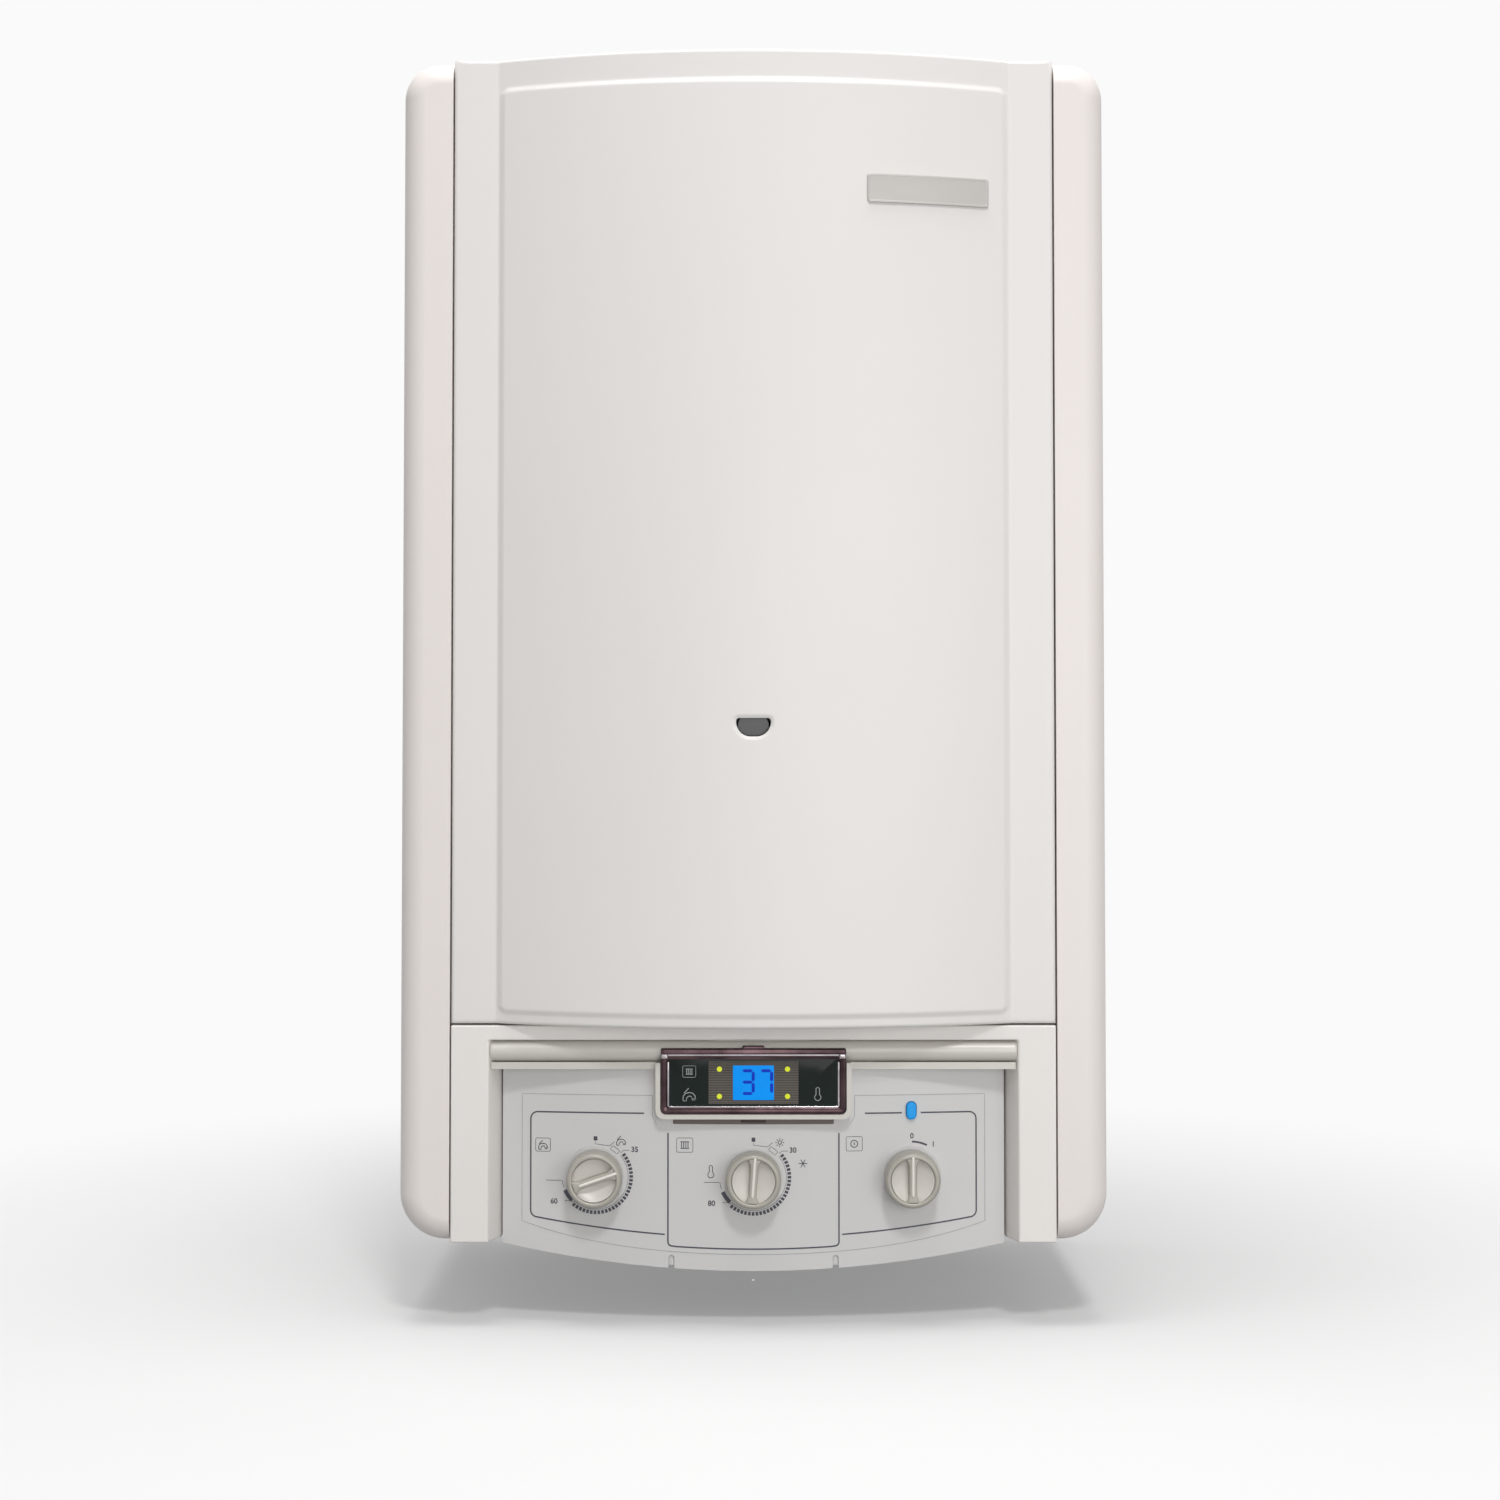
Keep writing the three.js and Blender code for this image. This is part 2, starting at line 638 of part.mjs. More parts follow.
const boardFace = plateBack - 2;
const boardRear = boardFace + 1.6;
const moduleHalf = displayHalf - BEZEL_FACE - 3;
const moduleLow = displayBottom + BEZEL_FACE + 1;
const moduleHigh = displayTop - BEZEL_FACE - 1;

// Bowed moulding with side walls, flat knob seats, display window and slotted chin.
function controlPlate() {
  const block = upright(platePlan(0, plateBack), bottom * 1.2, railTop);
  const outside = block.intersect(forwards(plateOutline(0), plateBack, front * 1.2));
  const seats = knobPlaces().map((x) =>
    rodY(x, knobLevel, seatRadius, seatFace(x), plateBack - SEAT_BACK, 22),
  );
  const core = upright(platePlan(MOULDING, plateBack + 1), bottom * 1.2, railTop);
  const inside = core.intersect(forwards(plateOutline(MOULDING), plateBack + 1, front * 1.2));
  const bores = knobPlaces().map((x) =>
    rodY(x, knobLevel, SHAFT_DIAMETER / 2 + 1.5, front, plateBack, 12),
  );
  const gap = FIT + 0.5;
  const reach = moduleHalf + gap;
  const window = box(-reach, reach, front, plateBack, moduleLow - gap, moduleHigh + gap);
  const slots = [-CHIN_SLOT_PLACE, CHIN_SLOT_PLACE].map((x) => {
    const half = CHIN_SLOT / 2;
    const slotTop = bottom - CHIN_DROP - 5;
    const shape = rounded(x - half, x + half, bottom * 1.2, slotTop, 0.5, half - 0.01);
    return forwards(shape, plateEdge + 2, front);
  });
  const button = forwards(capsule(FIT), plateBack, front);
  return carve(unite([outside, ...seats]), inside, ...bores, window, ...slots, button);
}

// Everything the control recess lets through, with an even gap at its walls.
const recessCell = () => upright(recessPlan(0.6, front - 6, plateBack), bottom, recessTop);

// Half-round rail across the recess, cut back to follow the bow and clear of the bezel.
function panelRail() {
  const profile = new THREE.Shape();
  profile.absarc(front + RAIL_RADIUS, railLevel, RAIL_RADIUS, Math.PI / 2, 1.5 * Math.PI, false);
  profile.lineTo(plateEdge, railBottom);
  profile.lineTo(plateEdge, railTop);
  const bar = across(profile, -recessHalf, recessHalf).intersect(recessCell());
  const gap = displayHalf + FIT;
  const bezelCell = box(-gap, gap, plateBack, front * 1.2, railBottom - 1, displayTop + 1.5 + FIT);
  return carve(bar, upright(platePlan(-FIT, plateBack), bottom, top), bezelCell);
}

// The lip below the rail, which drops round the display as a rim.
function displayHood() {
  const reach = displayHalf + DISPLAY_RIM;
  const lip = box(-recessHalf, recessHalf, plateEdge, front + 2.5, lipBottom, plateTop);
  const rim = forwards(
    rounded(-reach, reach, displayBottom - DISPLAY_RIM, plateTop, 5, 0.5),
    plateEdge,
    displayFace,
  );
  const gap = FIT;
  const opening = forwards(
    rounded(-displayHalf - gap, displayHalf + gap, displayBottom - gap, top, 3 + gap, 0.5),
    plateBack,
    front * 1.2,
  );
  const strip = lip.intersect(recessCell());
  return carve(strip.add(rim), opening, upright(platePlan(-FIT, plateBack), bottom, top));
}

// Chromed frame with rounded front edges and a small thumb tab on top.
function displayBezel() {
  const round = 1.2;
  const rounding = {
    curveSegments: 2,
    bevelEnabled: true,
    bevelSegments: 2,
    bevelSize: round,
    bevelThickness: round,
    bevelOffset: -round,
  };
  const outline = rounded(-displayHalf, displayHalf, displayBottom, displayTop, 3);
  const frame = forwards(outline, plateEdge, displayFace - 1 + round, rounding);
  const tab = box(-6.4, 6.4, front + 4, displayFace, displayTop - 2, displayTop + 1.5);
  const half = displayHalf - BEZEL_FACE;
  const window = box(-half, half, 0, front * 1.2, displayBottom + BEZEL_FACE, displayTop - BEZEL_FACE);
  const behind = upright(platePlan(-FIT, 0), bottom, top);
  return carve(frame.add(tab), window, behind);
}

function displayLens() {
  const half = displayHalf - BEZEL_FACE - FIT;
  const [z0, z1] = [displayBottom + BEZEL_FACE + FIT, displayTop - BEZEL_FACE - FIT];
  return forwards(rounded(-half, half, z0, z1, 1), displayFace + LENS_SINK, displayFace - 0.5);
}

// Liquid-crystal unit: its case passes through the plate's window, its flange clips behind.
function displayModule() {
  const caseFront = displayFace + LENS_SINK + FIT;
  const caseBox = box(-moduleHalf, moduleHalf, boardFace - FIT, caseFront, moduleLow, moduleHigh);
  const reach = moduleHalf + 4;
  const flangeFace = plateFace(reach, MOULDING) + FIT;
  const flange = box(-reach, reach, flangeFace + 2, flangeFace, moduleLow - 3, moduleHigh + 2);
  return caseBox.add(flange);
}

// Rotary switch on the board, with its shaft through the plate and into the knob.
function rotarySwitch(x) {
  const half = SWITCH_HALF;
  const skin = plateFace(Math.abs(x) + half, MOULDING) + FIT;
  const face = Math.max(skin, plateBack - SEAT_BACK + FIT);
  const body = box(x - half, x + half, boardFace - FIT, face, knobLevel - half, knobLevel + half);
  const bush = rodY(x, knobLevel, SHAFT_DIAMETER / 2 + 1, plateBack - 6, seatFace(x) + 1, 10);
  const shaftEnd = seatFace(x) - KNOB_HEIGHT * 0.55;
  const shaft = rodY(x, knobLevel, SHAFT_DIAMETER / 2, boardFace - 1, shaftEnd, 10);
  const flatLevel = knobLevel + SHAFT_DIAMETER / 2 - 1;
  const flat = box(x - 9, x + 9, seatFace(x) - 1, shaftEnd - 1, flatLevel, flatLevel + 9);
  return body.add(bush).add(shaft.subtract(flat));
}

// Knob with its back at y = 0 and its pointer upwards: two scoops leave a grip bar between them.
function knob() {
  const radius = KNOB_DIAMETER / 2;
  const face = -KNOB_HEIGHT;
  const body = solid(turned([
    [0, 0],
    [radius, 0],
    [radius, face + 3],
    [radius - 0.6, face + 1],
    [radius - 2, face],
    [0, face],
  ], 22));
  const bowl = solid(turned([
    [0, face - 1],
    [radius - 2.7, face - 1],
    [radius - 2.7, face + 0.8],
    [radius - 4.2, face + 4.5],
    [radius - 8, face + 6.5],
    [0, face + 7.2],
  ], 20));
  const bar = box(-KNOB_BAR / 2, KNOB_BAR / 2, 1, face - 2, -radius, radius);
  const bore = rodY(0, 0, SHAFT_DIAMETER / 2 + FIT, 1, face * 0.6 - 0.5, 10);
  return carve(body, bowl.subtract(bar), bore);
}

// Capsule cap and the stem that works the switch on the board.
function resetButton() {
  const collarFace = plateFace(KNOB_PITCH + BUTTON_WIDTH / 2 + 2, MOULDING) + FIT;
  const capBack = collarFace + 1.6;
  const cap = forwards(capsule(0), capBack, plateFace(KNOB_PITCH) - BUTTON_PROUD);
  const collar = forwards(capsule(1.2), capBack, collarFace);
  const stem = rodY(KNOB_PITCH, bottom + BUTTON_LEVEL, 1.8, capBack - 1, boardFace - 7, 8);
  return unite([cap, collar, stem]);
}

// Circuit board with the parts that stand on it.
function controlBoard() {
  const half = boxHalf - MOULDING - 4;
  const [z0, z1] = [bottom + 14, recessTop - 13];
  const board = box(-half, half, boardRear, boardFace, z0, z1);
  const transformer = box(-half + 8, -half + 52, boardRear - 1, boardRear + 30, z0 + 12, z0 + 50);
  const relays = [0, 1, 2].map((i) => {
    const x = -half + 66 + 24 * i;
    return box(x, x + 18, boardRear - 1, boardRear + 15, z0 + 10, z0 + 25);
  });
  const capacitors = [0, 1].map((i) => rodY(40 + 22 * i, z1 - 20, 8, boardRear - 1, boardRear + 26, 10));
  const connectors = [0, 1, 2, 3].map((i) => {
    const x = 8 + 28 * i;
    return box(x, x + 20, boardRear - 1, boardRear + 9, z0 + 3, z0 + 10);
  });
  const microswitch = box(
    KNOB_PITCH - 4,
    KNOB_PITCH + 4,
    boardFace + 1,
    boardFace - 4.7,
    bottom + BUTTON_LEVEL - 4,
    bottom + BUTTON_LEVEL + 4,
  );
  return unite([board, transformer, ...relays, ...capacitors, ...connectors, microswitch]);
}

// Open tray behind the plate: rim flange, standoffs for the board, cable slots and hinge ears.
function controlBox() {
  const low = bottom + 5;
  const high = recessTop - 4;
  const tray = box(-boxHalf, boxHalf, boxBack, boxFront, low, high);
  const flange = box(-plateHalf + 0.5, plateHalf - 0.5, boxFront + MOULDING, boxFront, low - 3, railTop);
  const hollow = box(
    -boxHalf + MOULDING,
    boxHalf - MOULDING,
    boxBack - MOULDING,
    boxFront - 1,
    low + MOULDING,
    high - MOULDING,
  );
  const posts = sides.flatMap((side) =>
    [low + 14, high - 14].map((z) => rodY(side * (boxHalf - 12), z, 4, boxBack - 1, boardRear + FIT, 8)),
  );
  const ears = sides.map((side) =>
    rodX(hingeY, hingeZ, HINGE_PIN / 2 + 4, side * (boxHalf - 1), side * (boxHalf + EAR_REACH)),
  );
  const bore = rodX(hingeY, hingeZ, HINGE_PIN / 2 + FIT, -halfWidth, halfWidth, 12);
  const cableSlots = [-1.5, -0.5, 0.5, 1.5].map((step) => {
    const x = step * CABLE_SLOT_PITCH;
    return box(x - 9, x + 9, boxBack + 1, boxBack - 4, low + 12, low + 18);
  });
  const shell = tray.add(flange).subtract(hollow);
  return carve(unite([shell, ...posts, ...ears]), bore, ...cableSlots);
}

// Steel bracket on the bottom plate with the pin that an ear turns on.
function hingeBracket(side) {
  const inner = side * (boxHalf + EAR_REACH + 0.5);
  const outer = side * (boxHalf + EAR_REACH + 2.5);
  const foot = floorTop + FIT;
  const [x0, x1] = [inner, outer].sort((a, b) => a - b);
  const blade = polygon([
    [hingeY + 55, foot],
    [hingeY + 17, foot],
    [hingeY - 9, hingeZ - 5],
    [hingeY - 9, hingeZ + 9],
    [hingeY + 17, hingeZ + 9],
    [hingeY + 55, foot + 8],
  ]);
  const flap = box(inner, side * (boxHalf + 24), hingeY + 55, hingeY + 20, foot, foot + 2);
  const pin = rodX(hingeY, hingeZ, HINGE_PIN / 2, outer, side * (boxHalf - MOULDING - 2), 12);
  return unite([across(blade, x0, x1), flap, pin]);
}

// ---- Sealed chamber ----

const chamberBackEdge = -BACK_SHEET - 2 * FIT - 1; // just in front of the hangers
const manifoldRadius = 7;
const manifoldY = stackFront + 14 - 4 - manifoldRadius;
const manifoldZ = burnerBottom + 14;
const sightLevel = doorBottom + SIGHT_ABOVE_DOOR;

// Sheet box open to the front; its side walls run back to the hangers, round the vessel.
function chamberHousing() {
  const [low, high] = [chamberFloor, chamberTop];
  const inner = chamberHalf - SHEET;
  const rim = chamberHalf - 10;
  const block = box(-chamberHalf, chamberHalf, chamberBackEdge, chamberFront, low, high);
  const room = box(-inner, inner, chamberRear - SHEET, chamberFront + SHEET, low + SHEET, high - SHEET);
  const mouth = box(-rim, rim, chamberFront + 3, chamberFront - 1, low + 10, high - 10);
  const behind = box(-inner, inner, 1, chamberRear, low - 1, high - SHEET);
  const pipeHole = PIPE / 2 + 1.5;
  const holes = [
    rodZ(-pipeX, stackMiddle, pipeHole, low - 1, low + 3, 12),
    rodZ(pipeX, stackMiddle, pipeHole, low - 1, low + 3, 12),
    rodZ(0, manifoldY, pipeHole, low - 1, low + 3, 12),
    rodZ(0, flueY, FLUE_OUTSIDE / 2 + 1, high - 3, high + 1, 24),
  ];
  return carve(block, room, mouth, behind, ...holes);
}

// Lid of the chamber, folded back all round, with a pressed panel and the sight opening.
function chamberCover() {
  const half = chamberHalf + FIT;
  const face = chamberFront - FIT - SHEET;
  const [low, high] = [chamberFloor - FIT, chamberTop + FIT];
  const lid = box(-half - SHEET, half + SHEET, chamberFront + 8, face, low - SHEET, high + SHEET);
  const pressing = rounded(-half + 22, half - 22, low + 22, high - 22, 12);
  const pressed = forwards(pressing, face + SHEET, face - COVER_PRESSING);
  const hollow = box(-half, half, chamberFront + 9, face + SHEET, low, high);
  const recess = forwards(
    rounded(-half + 23.2, half - 23.2, low + 23.2, high - 23.2, 11),
    chamberFront,
    face - COVER_PRESSING + SHEET,
  );
  const sight = rodY(0, sightLevel, 9, chamberFront, face - 4, 16);
  return carve(lid.add(pressed), hollow, recess, sight);
}

function sightGlassRing() {
  const back = chamberFront - FIT - SHEET - COVER_PRESSING - FIT;
  const profile = [
    [0, back],
    [14, back],
    [14, back - 3],
    [12.5, back - 4.2],
    [10, back - 4.2],
    [9.5, back - 2.4],
    [0, back - 2.4],
  ];
  return solid(turned(profile, 20).translate(0, 0, sightLevel));
}

// Row of upright blades with chamfered tops, each with a mouth for its gas nozzle.
const burnerHalf = stackHalf - 8;
const bladePitch = (2 * burnerHalf) / BURNER_BLADES;
const bladePlaces = () =>
  Array.from({ length: BURNER_BLADES }, (_, i) => -burnerHalf + bladePitch * (i + 0.5));

function burner() {
  const [rear, face] = [stackRear - 8, stackFront + 14];
  const width = bladePitch * 0.62;
  const tray = box(-burnerHalf, burnerHalf, rear, face, burnerBottom, burnerBottom + 7);
  const rails = [rear, face + 3].map((y) =>
    box(-stackHalf + 1, stackHalf - 1, y, y - 3, burnerBottom, burnerTop - 6),
  );
  const brackets = sides.map((side) =>
    box(side * (stackHalf - 4), side * (stackHalf - 1), rear, face, burnerTop - 14, burnerTop),
  );
  const blades = bladePlaces().map((x) => {
    const half = width / 2;
    const foot = burnerBottom + 5;
    const crown = burnerTop - 1;
    const profile = [
      [x - half, foot],
      [x + half, foot],
      [x + half, crown - 5],
      [x + half * 0.45, crown],
      [x - half * 0.45, crown],
      [x - half, crown - 5],
    ];
    return forwards(polygon(profile), rear, face);
  });
  const mouths = bladePlaces().map((x) => rodY(x, manifoldZ, 3, face + 10, face - 1, 6));
  return carve(unite([tray, ...rails, ...brackets, ...blades]), ...mouths);
}

function gasManifold() {
  const bar = rodX(manifoldY, manifoldZ, manifoldRadius, -burnerHalf, burnerHalf, 12);
  const nozzles = bladePlaces().map((x) =>
    rodY(x, manifoldZ, 2.6, manifoldY, stackFront + 14 - FIT, 6),
  );
  const boss = rodZ(0, manifoldY, manifoldRadius + 2, manifoldZ - manifoldRadius - 2, manifoldZ, 12);
  return unite([bar, boss, ...nozzles]);
}

// Insulated firebox between burner and heat exchanger, hung on the chamber's rear wall.
function combustionChamber() {
  const wall = 4;
  const block = box(-stackHalf, stackHalf, stackRear, stackFront, fireboxBottom, fireboxTop);
  const room = box(
    -stackHalf + wall,
    stackHalf - wall,
    stackRear - wall,
    stackFront + wall,
    fireboxBottom - 1,
    fireboxTop + 1,
  );
  const feet = sides.flatMap((side) =>
    [fireboxBottom + 16, fireboxTop - 30].map((z) =>
      box(side * 60, side * 82, chamberRear - SHEET - FIT, stackRear - 1, z, z + 14),
    ),
  );
  const ribs = [0.35, 0.7].map((share) => {
    const z = fireboxBottom + FIREBOX_HEIGHT * share;
    return box(-stackHalf + 14, stackHalf - 14, stackFront + 1, stackFront - 2, z, z + 8);
  });
  const sight = rodY(0, sightLevel, 8, stackFront + 6, stackFront - 3, 12);
  return carve(unite([block, ...feet, ...ribs]), room, sight);
}

// Copper jacket with water tubes through a pack of fins, and a header at each end.
const exchangerPort = exchangerBottom + EXCHANGER_HEIGHT / 2;

function heatExchanger() {
  const wall = 2;
  const jacket = box(-stackHalf, stackHalf, stackRear, stackFront, exchangerBottom, exchangerTop);
  const room = box(
    -stackHalf + wall,
    stackHalf - wall,
    stackRear - wall,
    stackFront + wall,
    exchangerBottom - 1,
    exchangerTop + 1,
  );
  const tubes = [-1, 0, 1].map((i) =>
    rodX(stackMiddle + (i * STACK_DEPTH) / 3.4, exchangerPort, 8, -stackHalf - 2, stackHalf + 2, 6),
  );
  const reach = stackHalf - 14;
  const fins = Array.from({ length: EXCHANGER_FINS }, (_, i) => {
    const x = -reach + (2 * reach * i) / (EXCHANGER_FINS - 1);
    return box(x - 0.7, x + 0.7, stackRear - 1, stackFront + 1, exchangerBottom + 12, exchangerTop - 12);
  });
  const headers = sides.map((side) =>
    across(
      rounded(stackFront + 8, stackRear - 8, exchangerPort - 13, exchangerPort + 13, 12.9),
      side > 0 ? stackHalf - 1 : -stackHalf - 10,
      side > 0 ? stackHalf + 10 : -stackHalf + 1,
    ),
  );
  return unite([jacket.subtract(room), ...tubes, ...fins, ...headers]);
}

// Tapered hood, drawn in by an inset, from the heat exchanger up to the fan.
function hoodForm(inset) {
  const [low, high] = [hoodBottom - (inset ? 1 : 0), hoodTop - inset];
  const shoulder = hoodBottom + 9;
  const side = polygon([
    [stackRear - inset, low],
    [stackRear - inset, high],
    [fanFront + inset, high],
    [stackFront + inset, shoulder],
    [stackFront + inset, low],
  ]);
  const [left, right] = [fanX - SCROLL_SMALL, SCROLL_SMALL];
  const elevation = polygon([
    [-stackHalf + inset, low],
    [stackHalf - inset, low],
    [stackHalf - inset, shoulder],
    [right - inset, high],
    [left + inset, high],
    [-stackHalf + inset, shoulder],
  ]);
  return across(side, -stackHalf, stackHalf).intersect(forwards(elevation, stackRear + 1, stackFront - 1));
}

// The hood and, behind the fan, the duct that leads up to the fan's inlet.
function flueHood() {
  const [x0, x1] = [fanX - fanEye - 4, fanX + fanEye + 4];
  const [rear, face] = [fanRear + 20, fanRear + FIT];
  const high = fanZ + fanEye + 4;
  const duct = box(x0, x1, rear, face, hoodTop - 12, high);
  const passage = box(x0 + SHEET, x1 - SHEET, rear - SHEET, face + SHEET, hoodTop - 14, high - SHEET);
  const mouth = rodY(fanX, fanZ, fanEye, rear - 4, face - 1, 20);
  return carve(hoodForm(0).add(duct), hoodForm(SHEET), passage, mouth);
}

// ---- Fan ----

const fanShaft = 6;

// Elevation of the scroll, whose radius grows round to the outlet side.
function scroll(inset) {
  const steps = 20;
  const start = Math.PI / 4;
  const points = [];
  for (let i = 0; i <= steps; i += 1) {
    const angle = start + ((2 * Math.PI - start) * i) / steps;
    const radius = SCROLL_SMALL + ((SCROLL_LARGE - SCROLL_SMALL) * i) / steps - inset;
    points.push([fanX + radius * Math.cos(angle), fanZ + radius * Math.sin(angle)]);
  }
  return polygon(points);
}

function fanHousing() {
  const wall = 2;
  const neckHigh = fanZ + SCROLL_LARGE + 6;
  const sleeveHigh = chamberTop - SHEET - 1;
  const sleeveRadius = FLUE_OUTSIDE / 2 + FIT + 0.4;
  const bore = FLUE_BORE / 2;
  const half = bore + wall;
  const casing = forwards(scroll(0), fanRear, fanFront);
  const neck = box(-half, half, fanRear, fanFront, fanZ, neckHigh);
  const sleeve = rodZ(0, flueY, sleeveRadius + wall, neckHigh - wall, sleeveHigh, 20);
  const room = forwards(scroll(wall), fanRear - wall, fanFront + wall);
  const passage = box(-bore, bore, fanRear - wall, fanFront + wall, fanZ + wall, neckHigh - wall);
  const throat = Math.min(bore, FAN_WIDTH / 2 - wall);
  const outlet = rodZ(0, flueY, throat, neckHigh - 2 * wall, sleeveHigh + 1, 20);
  const socket = rodZ(0, flueY, sleeveRadius, neckHigh, sleeveHigh + 1, 24);
  const eye = rodY(fanX, fanZ, fanEye, fanRear + 1, fanRear - wall - 1, 16);
  const shaftHole = rodY(fanX, fanZ, fanShaft / 2 + 1, fanFront + wall + 1, fanFront - 1, 8);
  return carve(unite([casing, neck, sleeve]), room, passage, outlet, socket, eye, shaftHole);
}

const impellerWidth = FAN_WIDTH - 12;

// Forward-curved impeller about the Y axis, its back disc towards the motor at y = 0.
function impeller() {
  const outer = IMPELLER_RADIUS;
  const inner = outer * 0.72;
  const disc = rodY(0, 0, outer, 0, 2, 24);
  const ring = solid(turned([
    [inner, impellerWidth - 2],
    [outer, impellerWidth - 2],
    [outer, impellerWidth],
    [inner, impellerWidth],
    [inner, impellerWidth - 2],
  ], 24));
  const hub = rodY(0, 0, fanShaft / 2 + 4, 1, 16, 12);
  const bore = rodY(0, 0, fanShaft / 2 + FIT, -1, 17, 10);
  const blades = Array.from({ length: IMPELLER_BLADES }, (_, i) => {
    const turn = (2 * Math.PI * i) / IMPELLER_BLADES;
    const at = (radius, lead) => [radius * Math.cos(turn + lead), radius * Math.sin(turn + lead)];
    const middle = (inner + outer) / 2;
    const edge = outer - 0.4;
    const outline = [
      at(inner + 0.4, 0),
      at(middle, 0.03),
      at(edge, 0.13),
      at(edge, 0.18),
      at(middle, 0.09),
      at(inner + 0.4, 0.07),
    ];
    return forwards(polygon(outline), impellerWidth - 1, 1);
  });
  return carve(unite([disc, ring, hub, ...blades]), bore);
}

function fanMotor() {
  const back = fanFront - FIT;
  const profile = [
    [0, back],
    [30, back],
    [30, back - 3],
    [22, back - 3],
    [22, back - 9],
    [27, back - 11],
    [27, back - 30],
    [22, back - 36],
    [0, back - 36],
  ];
  const body = solid(turned(profile, 16).translate(fanX, 0, fanZ));
  const shaft = rodY(fanX, fanZ, fanShaft / 2, back - 1, fanFront + 18, 10);
  return body.add(shaft);
}

// Disc-shaped switch on the chamber's side wall with its two pressure nipples.
function pressureSwitch() {
  const wall = chamberHalf - SHEET - FIT;
  const level = fanZ + 30;
  const disc = rodX(flueY, level, 22, wall - 3, wall - 16);
  const rim = rodX(flueY, level, 24, wall - 8, wall - 11);
  const foot = box(wall, wall - 4, flueY + 12, flueY - 12, level - 30, level + 30);
  const nipples = [-9, 9].map((lift) => rodX(flueY, level + lift, 3, wall - 15, wall - 26, 8));
  return unite([disc, rim, foot, ...nipples]);
}

// ---- Expansion vessel: two domed halves and the seam between them ----
function expansionVessel() {
  const [half, low] = [VESSEL_WIDTH / 2, chamberFloor + 8];
  const seam = 5;
  const dome = 22;
  const rear = -BACK_SHEET - FIT;
  const shape = rounded(-half + seam, half - seam, low + seam, low + VESSEL_HEIGHT - seam, 55);
  const doming = {
    curveSegments: 2,
    bevelEnabled: true,
    bevelSegments: 2,
    bevelSize: 14,
    bevelThickness: dome,
    bevelOffset: -14,
  };
  const shell = forwards(shape, rear - dome, rear - VESSEL_DEPTH + dome, doming);
  const middle = rear - VESSEL_DEPTH / 2;
  const flange = forwards(rounded(-half, half, low, low + VESSEL_HEIGHT, 60), middle + 2, middle - 2);
  const port = rodZ(0, middle, 7, low - 22, low + 8, 12);
  return unite([shell, flange, port]);
}

// ---- Water and gas ----

const blockMiddle = (blockBottom + blockTop) / 2;
const blockHalf = pipeX + 18;
const blockInner = 48;
const portLength = 4;
const platesRear = blockFront - portLength - FIT;
const plateStub = PLATES_WIDTH / 2 - 20;
const towerFront = blockFront + 4;
const flowPort = valveTop - 14;
const tapX = pipeX - 20;
const tapLength = 26;
const spindleReach = 9; // how far a spindle stands out of its valve
const reliefBack = blockFront - 6 - FIT;
const reliefFace = reliefBack - 24;
const reliefX = pipeX - 5;
const tapZ = blockMiddle;

function tailPlaces() {
  return [-2, -1, 0, 1, 2].map((step) => step * TAIL_PITCH);
}

// Pipe tail with a thicker union end, bored right through.
function pipeTail(x, upperEnd) {
  const bore = TAIL_BORE / 2;
  const profile = [
    [bore, tailEnd],
    [TAIL / 2, tailEnd],
    [TAIL / 2, tailEnd + 16],
    [TAIL / 2 - 1.5, tailEnd + 18],
    [TAIL / 2 - 1.5, upperEnd],
    [bore, upperEnd],
    [bore, tailEnd],
  ];
  return solid(turned(profile, 12).rotateX(Math.PI / 2).translate(x, tailY, 0));
}

// One brass block: body, hexagon unions and the stub that the plate heat exchanger seats on.
function manifoldBlock(side) {
  const [x0, x1] = [side * blockInner, side * blockHalf].sort((a, b) => a - b);
  const body = upright(rounded(x0, x1, blockFront, blockRear, 6), blockBottom + 5, blockTop);
  const unions = [1, 2].map((step) =>
    rodZ(side * step * TAIL_PITCH, tailY, TAIL / 2 + 2, blockBottom, blockBottom + 8, 6),
  );
  const stub = rodY(side * plateStub, tapZ, 9, blockFront + 2, platesRear + FIT, 6);
  return unite([body, ...unions, stub]);
}

// Left block with the diverter valve's tower, the flow port and the filling tap's body.
function flowManifold() {
  const [x0, x1] = [-pipeX - 18, -pipeX + 18];
  const tower = upright(rounded(x0, x1, towerFront, blockRear - 4, 8), blockTop - 4, valveTop);
  const port = rodY(-pipeX, flowPort, 11, towerFront + 4, towerFront - 6, 6);
  const tap = rodY(-tapX, tapZ, 9, blockFront + 3, blockFront - tapLength, 10);
  const nut = rodY(-tapX, tapZ, 12, blockFront - 8, blockFront - 15, 6);
  const tapEnd = blockFront - tapLength;
  const spindle = rodY(-tapX, tapZ, SPINDLE / 2, tapEnd + 1, tapEnd - spindleReach, 8);
  return unite([manifoldBlock(-1), tower, port, tap, nut, spindle]);
}

function returnManifold() {
  const pumpPort = rodZ(pumpX, tailY, 13, blockTop - 2, blockTop + 5, 6);
  const reliefPort = rodY(reliefX, tapZ, 12, blockFront + 3, blockFront - 6, 6);
  return unite([manifoldBlock(1), pumpPort, reliefPort]);
}

